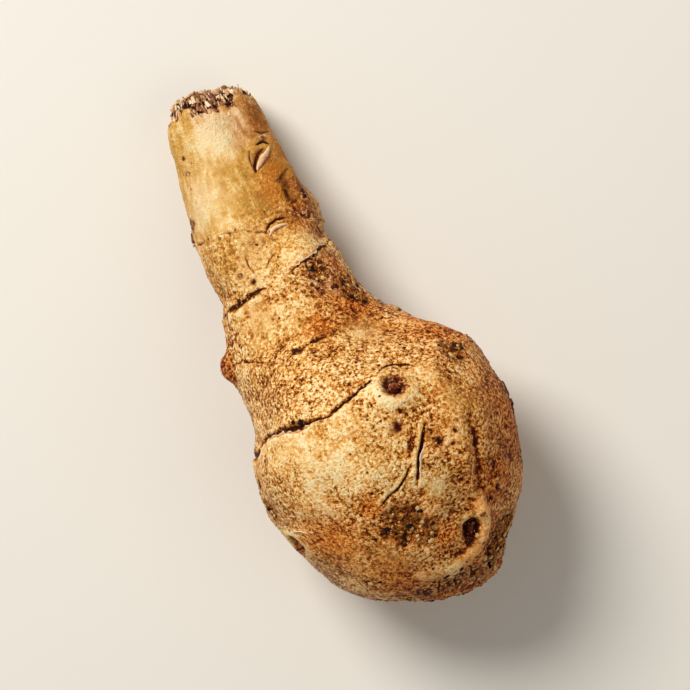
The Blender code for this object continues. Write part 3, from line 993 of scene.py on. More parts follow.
def set_stops(ramp, stops):
    """Spreads the colours evenly along a ramp."""
    while len(ramp.elements) < len(stops):
        ramp.elements.new(1.0)
    for number, (element, stop) in enumerate(zip(ramp.elements, stops)):
        element.position = number / (len(stops) - 1)
        element.color = stop


class Field:
    """One output socket. Sums and products of fields add Math nodes to the tree."""

    def __init__(self, tree, socket):
        self.tree, self.socket = tree, socket

    def math(self, operation, *values, clamp=False):
        settings = {"operation": operation, "use_clamp": clamp}
        return node(self.tree, "ShaderNodeMath", settings, dict(enumerate(values)))

    def __add__(self, other):
        return self.math("ADD", self, other)

    def __sub__(self, other):
        return self.math("SUBTRACT", self, other)

    def __rsub__(self, other):
        return self.math("SUBTRACT", other, self)

    def __mul__(self, other):
        return self.math("MULTIPLY", self, other)

    def __truediv__(self, other):
        return self.math("DIVIDE", self, other)

    def __rtruediv__(self, other):
        return self.math("DIVIDE", other, self)

    __radd__ = __add__
    __rmul__ = __mul__

    def clamped(self):
        return self.math("ADD", self, 0.0, clamp=True)

    def rise(self, start, end):
        """0 below start, 1 above end, smooth between; falls instead if end is less."""
        settings = {"interpolation_type": "SMOOTHSTEP"}
        sockets = {"Value": self, "From Min": start, "From Max": end}
        return node(self.tree, "ShaderNodeMapRange", settings, sockets)


# %% Textures, masks and colours for a material
class Finish:
    """A Principled material whose colour, roughness and relief are built from fields."""

    def __init__(self, name, roughness=0.6, **sockets):
        self.material = bpy.data.materials.new(name)
        self.material.use_nodes = True
        self.tree = self.material.node_tree
        self.shader = self.tree.nodes["Principled BSDF"]
        self.shader.inputs["Roughness"].default_value = roughness
        for socket, value in sockets.items():
            self.shader.inputs[socket.replace("_", " ")].default_value = value
        self.place = node(self.tree, "ShaderNodeTexCoord", output="Object")

    def mask(self, name):
        return node(self.tree, "ShaderNodeAttribute", {"attribute_name": name}, output="Fac")

    def stretched(self, across, along, up):
        scale = {"Scale": (1 / across, 1 / along, 1 / up)}
        return node(self.tree, "ShaderNodeMapping", None, {"Vector": self.place, **scale})

    def noise(self, size, detail=2.0, roughness=0.5, place=None, distortion=0.0):
        """Soft noise from 0 to 1, with blotches of a size in mm."""
        sockets = {"Vector": place or self.place, "Scale": 1 / (size * MM), "Detail": detail}
        sockets |= {"Roughness": roughness, "Distortion": distortion}
        return node(self.tree, "ShaderNodeTexNoise", None, sockets)

    def warped(self, size, amount):
        """The place, shaken by a noise, so that what is drawn there has ragged edges."""
        sockets = {"Vector": self.place, "Scale": 1 / (size * MM), "Detail": 1.0}
        shake = node(self.tree, "ShaderNodeTexNoise", None, sockets, "Color")
        scaled = {0: shake, "Scale": amount * MM}
        shake = node(self.tree, "ShaderNodeVectorMath", {"operation": "SCALE"}, scaled)
        return node(self.tree, "ShaderNodeVectorMath", None, {0: self.place, 1: shake})

    def shades(self, tone, stops):
        """The colours in turn, as the tone goes from 0 to 1."""
        return node(self.tree, "ShaderNodeValToRGB", {"stops": stops}, {"Fac": tone})

    def cells(self, size, output="Distance", place=None):
        """Cells of a size in mm: the distance to each one's middle, or its own random colour."""
        sockets = {"Vector": place or self.place, "Scale": 1 / (size * MM)}
        return node(self.tree, "ShaderNodeTexVoronoi", None, sockets, output)

    def blend(self, factor, first, second, how="MIX"):
        sockets = {0: factor, 6: first, 7: second}
        settings = {"data_type": "RGBA", "blend_type": how}
        return node(self.tree, "ShaderNodeMix", settings, sockets, output=2)

    def red_of(self, colour):
        return node(self.tree, "ShaderNodeSeparateColor", None, {"Color": colour}, "Red")

    def feed(self, socket, field):
        self.tree.links.new(field.socket, self.shader.inputs[socket])

    def relief(self, height, distance):
        """A bump of a depth in mm over what the mesh already holds."""
        sockets = {"Height": height, "Distance": distance * MM, "Strength": 1.0}
        self.feed("Normal", node(self.tree, "ShaderNodeBump", None, sockets))


def colour(code):
    """A colour code such as D39D56 as the numbers a shader needs."""
    parts = [int(code[at : at + 2], 16) / 255 for at in (0, 2, 4)]
    return (*(((p + 0.055) / 1.055) ** 2.4 if p > 0.04 else p / 12.92 for p in parts), 1.0)


def colours(*codes):
    return [colour(code) for code in codes]


# %% [markdown]
# ## The skin's finish
# A tuber's skin is thin and waxy over cream flesh. It is golden tan, clouded paler and darker,
# and dusted with brown grains. What stands proud is scuffed to cream and partly painted lighter,
# a painted highlight, and what lies deep holds soil and is painted darker, a painted shade. The
# sides turned from the lamp are painted browner and darker too. So the finish is made in two
# steps. First the textures and masks are summed to one tone, from 0 for dark to 1 for light, and
# a ramp turns the tone into skin colours. Then scabs, bare flesh, the torn end and soil are laid
# over it. The masks say where, and the textures break their edges up.

# %% Colours from dark to light
NECK_TINT = colour("CDA652")
RUBBED_AND_LIT = colour("F6E0B4")
SKIN_SHADES = colours("380E00", "763002", "B0661A", "DE9C46", "F3C47C", "FFE8B2")
SCAB_SHADES = colours("340800", "6A260A", "A05E2E", "D29C68", "F8DCB4")
PINK_SHADES = colours("5A2408", "8E4A20", "B8783E", "DCA474", "F6D4A6")
TORN_SHADES = colours("1E0702", "64301A", "B47E56", "DDB488", "F4DCBC")
BROWN_SHADE_TINT = (1.0, 0.61, 0.30, 1.0)
print("the darkest skin is", [round(part, 3) for part in SKIN_SHADES[0][:3]])

# %% The textures: clouds, a fine network, and two sizes of specks
SPECK_SIZE, DOT_SIZE = 0.8, 0.38  # mm
f = Finish("tuber_skin", 0.5, Specular_IOR_Level=0.1)
clouds = f.noise(7.0, 2.0)
patches = f.noise(2.2, 3.0, 0.6)
network = f.noise(0.44, 3.0, 0.66, distortion=0.35)
dust = f.noise(0.24, 2.0, 0.6)
streaks = f.noise(1.0, 2.0, 0.55, f.stretched(0.8, 12.0, 0.8))
ragged_place = f.warped(0.4, 0.3)
speck_away = f.cells(SPECK_SIZE, place=ragged_place)
speck_random = f.red_of(f.cells(SPECK_SIZE, "Color", ragged_place))
dot_away = f.cells(DOT_SIZE, place=ragged_place)
dot_random = f.red_of(f.cells(DOT_SIZE, "Color", ragged_place))
neck = f.mask("neck")
earthy = f.mask("earthy")
print("textures and masks:", len(f.tree.nodes), "nodes")

# %% Specks, flakes and the tone of the skin
# crowd is how thickly the specks stand: thin on the waxy neck, where the skin is scuffed and where it is
# painted lighter.
crowd = (1 - 0.64 * neck - f.mask("scuffed") * 0.45 + earthy * neck * 0.5).clamped()
specks = (speck_random * 0.8 - 0.46 - speck_away).rise(-0.08, 0.10) * crowd
dots = (dot_random * 0.8 - 0.42 - dot_away).rise(-0.06, 0.14) * crowd
flakes = (0.32 - speck_random * 0.75 - speck_away).rise(-0.1, 0.08) * crowd
glints = (0.34 - dot_random * 0.8 - dot_away).rise(-0.08, 0.1) * crowd * (1 - earthy * 0.6)
tone = 0.62 + (network - 0.5) * 3.2 * crowd + (dust - 0.5) * 0.8 * crowd
tone = tone + (clouds - 0.5) * 0.6 + (patches - 0.5) * 0.85 + (streaks - 0.5) * 1.1 * neck
tone = tone - specks * 0.38 - dots * 0.32 + flakes * 0.18 + glints * 0.30
# Painted light and shade: the browner mask also darkens the sides turned from the lamp, most on the neck;
# the scuffed mask lightens lips, collar rims and crests, partly as a painted highlight; the shade mask
# paints patches lighter and darker.
tone = tone - earthy * (0.12 + neck * 0.3) + f.mask("scuffed") * 0.2 + f.mask("shade")
# Painted shade: the hollows and creases of the skin darken its tone.
shade_in_hollows = (f.mask("hollow") * 0.5).clamped() + (f.mask("crease") * 0.9 - 0.15).clamped()
print("with the tone:", len(f.tree.nodes), "nodes")

# %% The skin's own colours
# The neck's tint stays out of the painted shade of the creases, and what is scuffed on the neck turns to
# cream, partly as painted light.
base = f.shades(tone - shade_in_hollows, SKIN_SHADES)
waxy = neck * (0.75 - tone * 0.42).clamped() * (1 - shade_in_hollows * 2.0).clamped()
base = f.blend(waxy, base, NECK_TINT)
rubbed_and_lit = (f.mask("scuffed") + (patches - 0.5) * 0.5 - 0.25).clamped() * neck
base = f.blend(rubbed_and_lit * 0.5, base, RUBBED_AND_LIT)
tone = tone - shade_in_hollows
# The brown tint also falls on the sides turned from the lamp, as painted shade.
base = f.blend(earthy.clamped(), base, BROWN_SHADE_TINT, "MULTIPLY")
bared = (f.mask("pink") + (patches - 0.5) * 0.6).rise(0.15, 0.9)
base = f.blend(bared * 0.75, base, f.shades(tone - 0.05, PINK_SHADES))
print("with the skin's colours:", len(f.tree.nodes), "nodes")

# %% Scabs, the torn end and soil over the skin
corky = (f.mask("cork") + (network - 0.5) * 1.2 - 0.3).rise(0.0, 0.5)
scab = f.shades(0.40 + (network - 0.5) * 3.2 + (dot_random - 0.5) * 0.6 - shade_in_hollows * 0.8, SCAB_SHADES)
base = f.blend(corky * 0.85, base, scab)
torn = (f.mask("torn") + network * 0.6 - 0.6).rise(0.05, 0.4)
base = f.blend(torn, base, f.shades(0.36 + (network - 0.5) * 2.6 - shade_in_hollows, TORN_SHADES))
grit = f.shades(0.1 + dot_random * 0.35 + (network - 0.5) * 1.6, SKIN_SHADES)
soiled = (f.mask("soil") * 1.1 + network * 1.4 - 1.25).rise(0.0, 0.5)
base = f.blend(soiled * 0.85, base, grit)
f.feed("Base Color", base)
f.feed("Roughness", 0.42 + specks * 0.2 + soiled * 0.3 + earthy * 0.15 + corky * 0.1)
bumps = network * 1.4 + dust * 0.5 + dots * 0.5 + specks * 0.5 + patches * 1.0 + streaks * neck * 0.5
f.relief(bumps, 0.24)
skin.data.materials.append(f.material)
print("the whole finish:", len(f.tree.nodes), "nodes")

# %% [markdown]
# ## Growing small things on the skin
# Grains, scales and fibres come in hundreds or thousands, so no one models them one by one.
# Geometry Nodes scatters points over the skin, puts a small shape on each, and makes the copies
# real. Each tree has named inputs for its sizes, and every random draw has a fixed seed.


# %% A Geometry Nodes tree with named sizes
TRIES_PER_SPACE = 1.4  # points tried for each square of the spacing; those too close are dropped


class Growth:
    """A tree that covers a surface with copies of a small shape."""

    def __init__(self, name, **sizes):
        self.sizes = sizes
        self.tree = bpy.data.node_groups.new(name, "GeometryNodeTree")
        sockets = self.tree.interface
        sockets.new_socket("Geometry", in_out="INPUT", socket_type="NodeSocketGeometry")
        sockets.new_socket("Geometry", in_out="OUTPUT", socket_type="NodeSocketGeometry")
        for label, value in sizes.items():
            kind = "NodeSocketInt" if isinstance(value, int) else "NodeSocketFloat"
            sockets.new_socket(label, in_out="INPUT", socket_type=kind)
        self.start = self.tree.nodes.new("NodeGroupInput")
        self.end = self.tree.nodes.new("NodeGroupOutput")
        self.surface = Field(self.tree, self.start.outputs["Geometry"])

    def __getitem__(self, label):
        return Field(self.tree, self.start.outputs[label])

    def add(self, kind, settings=None, inputs=None, output=0):
        return node(self.tree, kind, settings, inputs, output)

    def random(self, low, high, seed):
        """A number of its own for each copy, drawn between two others."""
        sockets = {2: low, 3: high, "Seed": seed}
        return self.add("FunctionNodeRandomValue", {"data_type": "FLOAT"}, sockets, 1)

    def vector(self, x, y, z):
        return self.add("ShaderNodeCombineXYZ", None, {"X": x, "Y": y, "Z": z})

    def attribute(self, name, kind="FLOAT"):
        return self.add("GeometryNodeInputNamedAttribute", {"data_type": kind}, {"Name": name})

    def pointed(self, vector):
        """A rotation that turns a shape's Z axis along a vector."""
        return self.add("FunctionNodeAlignRotationToVector", {"axis": "Z"}, {"Vector": vector})

    def scattered(self, spacing, crowd, seed):
        """Points a spacing or more apart, as dense as crowd says, and the skin's lie at each."""
        settings = {"distribute_method": "POISSON"}
        sockets = {"Mesh": self.surface, "Distance Min": spacing, "Density Factor": crowd}
        sockets |= {"Density Max": TRIES_PER_SPACE / (spacing * spacing), "Seed": seed}
        points = self.add("GeometryNodeDistributePointsOnFaces", settings, sockets)
        return points, Field(self.tree, points.socket.node.outputs["Rotation"])

    def turned(self, rotation, x, y, z):
        """A rotation turned further about its own axes (radians)."""
        turn = self.add("FunctionNodeEulerToRotation", None, {"Euler": self.vector(x, y, z)})
        sockets = {"Rotation": rotation, "Rotate By": turn}
        return self.add("FunctionNodeRotateRotation", {"rotation_space": "LOCAL"}, sockets)

    def placed(self, points, shape, rotation, scale):
        sockets = {"Points": points, "Instance": shape, "Rotation": rotation, "Scale": scale}
        return self.add("GeometryNodeInstanceOnPoints", None, sockets)

    def toned(self, instances, tone):
        """Gives each copy a tone of its own, for its colour."""
        sockets = {"Geometry": instances, "Name": "tone", 3: tone}
        return self.add("GeometryNodeStoreNamedAttribute", {"domain": "INSTANCE"}, sockets)

    def roughened(self, shape, size, amount):
        """Moves the points of a real shape about by a noise."""
        shake = self.add("ShaderNodeTexNoise", None, {"Scale": 1 / size, "Detail": 1.0}, 1)
        middle = {0: shake, 1: (0.5, 0.5, 0.5)}
        centred = self.add("ShaderNodeVectorMath", {"operation": "SUBTRACT"}, middle)
        scaled = {0: centred, "Scale": amount}
        offset = self.add("ShaderNodeVectorMath", {"operation": "SCALE"}, scaled)
        return self.add("GeometryNodeSetPosition", None, {"Geometry": shape, "Offset": offset})

    def real(self, instances):
        return self.add("GeometryNodeRealizeInstances", None, {"Geometry": instances})

    def grown(self, piece_name, mesh, shape, material):
        """Runs the tree on a mesh and keeps what it made as a plain piece."""
        last = self.add("GeometryNodeSetMaterial", None, {"Geometry": shape, "Material": material})
        self.tree.links.new(last.socket, self.end.inputs["Geometry"])
        piece = link(piece_name, mesh)
        modifier = piece.modifiers.new(piece_name, "NODES")
        modifier.node_group = self.tree
        for item in self.tree.interface.items_tree:
            if item.in_out == "INPUT" and item.name in self.sizes:
                modifier[item.identifier] = self.sizes[item.name]
        piece.data = evaluated(piece)
        piece.modifiers.clear()
        finish_piece(piece)


# %% What every small piece ends with
def finish_piece(piece):
    """Keeps a piece in the room, and says what it rides on."""
    points = points_of(piece.data)
    set_points(piece.data, np.clip(points, ROOM_LOW, ROOM_HIGH))
    piece.data.calc_loop_triangles()
    print(piece.name, "has", len(piece.data.loop_triangles), "triangles")
    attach(piece, "root")


# %% [markdown]
# ## The finish of loose and dry bits
# Grains of soil and cork run from near black through red brown to cream. Each copy was given a
# tone, and one material turns the tone into a colour. A little noise is added to the tone, so
# that no grain is one flat colour.


# %% Materials that read the tone of each copy
def toned_finish(name, roughness, shades, mottle_size):
    """A finish that runs through the shades as the tone goes from 0 to 1."""
    finish = Finish(name, roughness, Specular_IOR_Level=0.2)
    tone = finish.mask("tone") + (finish.noise(mottle_size, 2.0) - 0.5) * 0.5
    mixed = shades[0]
    share = 1 / (len(shades) - 1)
    for number, lighter in enumerate(shades[1:]):
        mixed = finish.blend(tone.rise(number * share, (number + 1) * share), mixed, lighter)
    finish.feed("Base Color", mixed)
    finish.relief(finish.noise(0.15, 2.0), 0.05)
    print(name, "has", len(shades), "shades")
    return finish.material


CRUST_SHADES = colours("421404", "944E14", "CE8A3C", "F4C47C")
SOIL_SHADES = colours("1C0A02", "4E2408", "8A5420", "DCB476")
CORK_SHADES = colours("3A1208", "96603C", "D8AA7C", "F0D0A4", "FAE4C6")
BUD_SHADES = colours("1E0402", "50160A", "8C4428", "D09670")
PAPER_SHADES = colours("6A3010", "C88C44", "FFDE9C")
crust_material = toned_finish("crust", 0.7, CRUST_SHADES, 0.5)
soil_material = toned_finish("dried_soil", 0.85, SOIL_SHADES, 0.5)
cork_material = toned_finish("torn_cork", 0.6, CORK_SHADES, 0.4)
bud_material = toned_finish("bud_scale", 0.35, BUD_SHADES, 0.6)
paper_material = toned_finish("papery_scale", 0.55, PAPER_SHADES, 0.5)

# %% [markdown]
# ## Crust and soil
# The speckles of a tuber are low corky grains and dried soil. Twenty-sided balls, pressed flat
# and sunk half in, catch the light as they do. Most are tiny and a few are large: a random
# number multiplied by itself twice gives that spread.


# %% Crust grains all over, soil grains in the hollows
def grains(name, mask, sizes, seed, tones, material):
    """Flattened grains of random sizes where a mask of the skin is high."""
    growth = Growth(name, **sizes)
    points, lie = growth.scattered(growth["spacing"], growth.attribute(mask), seed)
    chance = growth.random(0.0, 1.0, seed + 1)
    range_of_sizes = growth["largest"] - growth["smallest"]
    radius = growth["smallest"] + chance * chance * chance * range_of_sizes
    stretch = growth.random(0.8, 1.5, seed + 2)
    scale = growth.vector(radius, radius * stretch, radius * growth["flatness"])
    lie = growth.turned(lie, 0.0, 0.0, growth.random(0.0, math.tau, seed + 3))
    ball = growth.add("GeometryNodeMeshIcoSphere", None, {"Radius": 1.0, "Subdivisions": 1})
    copies = growth.toned(growth.placed(points, ball, lie, scale), growth.random(*tones, seed + 4))
    rough = growth.roughened(growth.real(copies), 0.25 * MM, growth["smallest"] * 1.8)
    growth.grown(name, skin.data.copy(), rough, material)


CRUST = {"spacing": 0.55 * MM, "smallest": 0.07 * MM, "largest": 0.24 * MM, "flatness": 0.5}
SOIL_GRAINS = {"spacing": 0.34 * MM, "smallest": 0.09 * MM, "largest": 0.46 * MM, "flatness": 0.6}
SKIN_FLAKES = {"spacing": 0.60 * MM, "smallest": 0.14 * MM, "largest": 0.38 * MM, "flatness": 0.3}
grains("crust_grains", "crust", CRUST, 11, (0.0, 0.75), crust_material)
grains("soil_grains", "soiling", SOIL_GRAINS, 21, (-0.2, 1.2), soil_material)
grains("skin_flakes", "flaking", SKIN_FLAKES, 71, (0.0, 0.75), paper_material)

# %% [markdown]
# ## Torn fibres at the broken end
# The neck ended in a bundle of fibres. Where it broke, their stumps stick out: short pegs of many
# widths that all point roughly along the neck, with dark gaps between them.

# %% Where the pegs stand, and which way they point
growth = Growth(
    "torn_fibres",
    spacing=0.44 * MM,
    thinnest=0.12 * MM,
    thickest=0.46 * MM,
    length=0.36 * MM,
    spread=0.40,
)
points, _ = growth.scattered(growth["spacing"], growth.attribute("tearing"), 31)
sideways = growth.random(-1.0, 1.0, 32) * growth["spread"]
upwards = growth.random(-0.6, 1.0, 33) * growth["spread"]
along_neck = growth.pointed(growth.vector(sideways, 1.0, upwards))
chance = growth.random(0.0, 1.0, 34)
radius = growth["thinnest"] + chance * chance * (growth["thickest"] - growth["thinnest"])
flattened = radius * growth.random(0.6, 1.2, 35)
scale = growth.vector(flattened, radius, growth["length"] * growth.random(0.5, 1.4, 36))

# %% Short pegs on the broken end
cone = {"Vertices": 7, "Side Segments": 2, "Radius Top": 0.62, "Radius Bottom": 1.0, "Depth": 2.0}
peg = growth.add("GeometryNodeMeshCone", None, cone)
half_sunk = {"Geometry": peg, "Translation": (0.0, 0.0, -1.0)}
peg = growth.add("GeometryNodeTransform", None, half_sunk)
clumps = growth.add("ShaderNodeTexNoise", None, {"Scale": 1 / (1.3 * MM), "Detail": 1.0}).rise(0.40, 0.60)
tone = clumps * 0.50 + growth.random(0.0, 0.45, 37)
pegs = growth.toned(growth.placed(points, peg, along_neck, scale), tone)
pegs = growth.roughened(growth.real(pegs), 0.30 * MM, 0.24 * MM)
growth.grown("torn_fibres", skin.data.copy(), pegs, cork_material)

# %% [markdown]
# ## Bud scales
# A bud is a closed cone of small overlapping scales, each turned 137.5 degrees from the one
# before, which is how leaves grow. One rosette is built in the tree, and then placed on a point
# for every bud and every eye. Buds point towards the growing tip.


# %% The points that carry buds, and the rosettes on them
def carrier_mesh(name, points, **attributes):
    """Loose points (mm) with a value or a vector of their own for each attribute."""
    mesh = bpy.data.meshes.new(name)
    mesh.from_pydata([Vector(point) * MM for point in points], [], [])
    for label, values in attributes.items():
        values = np.array(values, dtype=float)
        kind, key = ("FLOAT_VECTOR", "vector") if values.ndim == 2 else ("FLOAT", "value")
        mesh.attributes.new(label, kind, "POINT").data.foreach_set(key, values.ravel())
    return mesh


def landed(place):
    """Where a place of the smooth skin came to lie after the sculpting."""
    return moved[np.argmin(distance_to(P, place))]


TOWARDS_TIP = Vector((0, -1, 0))
BUD_LEAN, EYE_LEAN = 1.3, 0.3  # towards the tip, against straight out
BUD_SIZE, EYE_SIZE = 0.9, 0.58  # of the mark's radius
EYE_SUNK = 0.55  # mm
rosettes = []  # place, the way it points, size (mm)
for place, radius, _ in BUDS.values():
    pointing = (place[1] + BUD_LEAN * TOWARDS_TIP).normalized()
    foot = landed(place) - 0.5 * radius * np.array(place[1])
    rosettes.append((foot, pointing, BUD_SIZE * radius))
for place, radius, *_ in EYES.values():
    pointing = (place[1] + EYE_LEAN * TOWARDS_TIP).normalized()
    foot = landed(place) - EYE_SUNK * np.array(place[1])
    rosettes.append((foot, pointing, EYE_SIZE * radius))
bud_points = carrier_mesh(
    "bud_points",
    [foot for foot, _, _ in rosettes],
    pointing=[tuple(pointing) for _, pointing, _ in rosettes],
    size=[size * MM for _, _, size in rosettes],
)
print(len(rosettes), "rosettes to grow")

# %% One scale: a cone pressed flat, widened below its tip and bent inwards
GOLDEN_TURN = math.radians(137.5)
growth = Growth(
    "bud_scales",
    scales=15,
    foot_radius=0.62,
    rise=0.75,
    lean=-0.12,
    bend=0.42,
    swell=1.1,
)
cone = {"Vertices": 8, "Side Segments": 5, "Radius Bottom": 0.40, "Radius Top": 0.02, "Depth": 0.9}
leaf = growth.add("GeometryNodeMeshCone", None, cone)
leaf = growth.add("GeometryNodeTransform", None, {"Geometry": leaf, "Scale": (1.0, 0.36, 1.0)})
position = growth.add("GeometryNodeInputPosition")
across = growth.add("ShaderNodeSeparateXYZ", None, {"Vector": position}, "X")
high = growth.add("ShaderNodeSeparateXYZ", None, {"Vector": position}, "Z")
shaping = growth.vector(across * high * growth["swell"], high * high * growth["bend"], 0.0)
leaf = growth.add("GeometryNodeSetPosition", None, {"Geometry": leaf, "Offset": shaping})

# %% Grow the rosettes
index = growth.add("GeometryNodeInputIndex")
share = index / growth["scales"]
spin = index * GOLDEN_TURN
inwards = 1 - share
out = inwards.math("POWER", inwards, 0.6) * growth["foot_radius"]
spot_x = spin.math("COSINE", spin) * out
spot_y = spin.math("SINE", spin) * out
spot = growth.vector(spot_x, spot_y, share * growth["rise"])
line = growth.add("GeometryNodeMeshLine", None, {"Count": growth["scales"]})
line = growth.add("GeometryNodeSetPosition", None, {"Geometry": line, "Position": spot})
facing = growth.turned(growth.add("FunctionNodeEulerToRotation"), 0.0, 0.0, spin + math.pi / 2)
leaning = growth.turned(facing, growth["lean"] + growth.random(-0.1, 0.16, 42), 0.0, 0.0)
scales = growth.placed(line, leaf, leaning, (1.0, 1.0, 1.0))
rosette = growth.real(growth.toned(scales, growth.random(0.1, 0.9, 41)))
upright = growth.pointed(growth.attribute("pointing", "FLOAT_VECTOR"))
upright = growth.turned(upright, 0.0, 0.0, growth.random(0.0, math.tau, 43))
buds = growth.placed(growth.surface, rosette, upright, growth.attribute("size"))
buds = growth.roughened(growth.real(buds), 0.5 * MM, 0.12 * MM)
growth.grown("bud_scales", bud_points, buds, bud_material)

# %% [markdown]
# ## Torn scale leaves along the creases
# The leaf that once went round at each ring has rotted to a dry fringe. Points are laid along
# each crease with the skin's outward direction and the way towards the body, and each gets a
# thin flake that lies down over the crease. Few are left on the top, more on the sides.

# %% Points along the creases
FRINGED = ("shoulder", "neck_base", "lower_neck", "upper_neck")
FLAKE_SPACING = 0.8  # mm
IN_THE_CREASE = 0.3  # mm
CLEAR_OF_GROUND = 1.0  # mm
LEFT_ON = 0.4  # the share of points that keep a flake where a crease is at full strength


def crease_points(name, seed):
    """Numbers of skin points in a crease, drawn at random but never too close together."""
    draw = np.random.default_rng(seed)
    ring = RING_CREASES[name]
    nearby = np.flatnonzero(np.abs(P[:, 1] - crease_line(name, ring)) < IN_THE_CREASE)
    draw.shuffle(nearby)
    kept = []
    for at in nearby:
        strong = read_round(ring.strength, BEARING[at])
        if draw.random() > LEFT_ON * strong or moved[at, 2] < CLEAR_OF_GROUND:
            continue
        if all(np.linalg.norm(moved[at] - moved[other]) > FLAKE_SPACING for other in kept):
            kept.append(at)
    return kept


fringe_rows = []
for number, name in enumerate(FRINGED):
    fringe_rows += crease_points(name, 51 + number)
outwards = normals_of(skin.data)[fringe_rows]
fringe_points = carrier_mesh("fringe_points", moved[fringe_rows], outward=outwards)
print(len(fringe_rows), "flakes along the creases")

# %% One flake: a thin sheet that narrows and sags
growth = Growth(
    "scale_fringe",
    length=0.6 * MM,
    width=0.5 * MM,
    thickness=0.05 * MM,
    lift=0.2,
    bend=0.5,
    narrowing=0.9,
)
sheet = {"Size": (1, 1, 1), "Vertices X": 4, "Vertices Y": 5, "Vertices Z": 2}
sheet = growth.add("GeometryNodeMeshCube", None, sheet)
position = growth.add("GeometryNodeInputPosition")
across = growth.add("ShaderNodeSeparateXYZ", None, {"Vector": position}, "X")
along = growth.add("ShaderNodeSeparateXYZ", None, {"Vector": position}, "Y") + 0.5
narrower = across * along * growth["narrowing"] * -1.0
sag = growth.vector(narrower, 0.5, along * along * growth["bend"] * -2.0)
sheet = growth.add("GeometryNodeSetPosition", None, {"Geometry": sheet, "Offset": sag})

# %% Grow the fringe, laid towards the body
flat_on = growth.pointed(growth.attribute("outward", "FLOAT_VECTOR"))
towards_body = {"Rotation": flat_on, "Vector": (0, -1, 0)}
lie = growth.add("FunctionNodeAlignRotationToVector", {"axis": "Y", "pivot_axis": "Z"}, towards_body)
lifted = growth["lift"] * growth.random(-0.4, 2.4, 61)
lie = growth.turned(lie, lifted, 0.0, growth.random(-0.6, 0.6, 62))
size = growth.random(0.35, 1.2, 63)
width = growth["width"] * size * growth.random(0.6, 1.5, 64)
scale = growth.vector(width, growth["length"] * size, growth["thickness"])
flakes_on = growth.placed(growth.surface, sheet, lie, scale)
flakes_on = growth.toned(flakes_on, growth.random(0.0, 0.7, 65))
torn_flakes = growth.roughened(growth.real(flakes_on), 0.35 * MM, 0.28 * MM)
growth.grown("scale_fringe", fringe_points, torn_flakes, paper_material)

# %% [markdown]
# ## Curled remnants of scale leaves
# Some bits of scale leaf have dried to cream curls, and along two creases the skin's own edge
# has lifted. Each is a strip swept along a path on the skin: one edge is rooted in the skin and
# the other rolls up, more or less wide from place to place. Solidify gives the sheet its
# thickness, which also closes it.


# %% The paths of the strips
def crease_path(name, bearings, offset):
    """Places along a crease, moved along Y from it (mm)."""
    ring_y, drift = RINGS[name][0], RING_CREASES[name].drift
    return [on_skin(ring_y + read_round(drift, d) + offset, d)[0] for d in bearings]


STRIPS = {  # path, width (mm), roll (degrees), raggedness, tone, and how high it arches
    "curl_bud": (
        path_on_skin(((0.3, 42.5), (1.1, 42.9), (1.8, 43.3), (2.6, 43.9), (3.1, 44.8))),
        1.35, 150, 0.06, 0.80, 0.7,
    ),
    "curl_ring": (
        path_on_skin(((-2.0, 33.7), (-1.2, 34.0), (-0.2, 34.1), (0.8, 34.1))),
        0.85, 150, 0.10, 1.0, 0.8,
    ),
    "curl_side": (
        path_on_skin(((17.9, 3.0), (18.0, 1.2), (17.9, -0.6), (17.6, -2.4))),
        0.8, 70, 0.5, 0.2, 0.0,
    ),
    "flap_crack": (path_on_skin(((2.4, -4.8), (3.95, -1.8), (5.3, 0.1))), 0.55, 40, 0.3, 1.0, 0.0),
    "lip_shoulder": (crease_path("shoulder", range(152, 108, -6), -0.75), 0.4, 28, 1.6, 0.7, 0.0),
    "lip_neck": (crease_path("lower_neck", range(24, 92, 8), 0.55), 0.45, 30, 1.6, 0.75, 0.0),
    "curl_fleck": (
        path_on_skin(((-15.9, -3.8), (-15.0, -4.0), (-14.1, -4.6))),
        0.55, 70, 0.5, 1.0, 0.0,
    ),
}
print(len(STRIPS), "strips to sweep")


# %% A smooth curve through a few points
def smooth_path(points, count):
    """Points evenly along a smooth curve through the given ones (Catmull-Rom)."""
    points = np.array([2 * points[0] - points[1], *points, 2 * points[-1] - points[-2]])
    result = []
    for place in np.linspace(0, len(points) - 3 - 1e-9, count):
        k, t = int(place), place % 1
        a, b, c, d = points[k : k + 4]
        second, third = 2 * a - 5 * b + 4 * c - d, 3 * b - a - 3 * c + d
        result.append(0.5 * (2 * b + (c - a) * t + second * t**2 + third * t**3))
    return np.array(result)


# %% The sheet of one strip
STRIP_THICKNESS = 0.09  # mm
STRIP_STEPS, ROLL_STEPS = 44, 6
ROOT_SUNK = 0.08  # mm
tree_of_sculpted = surface_tree(skin.data)


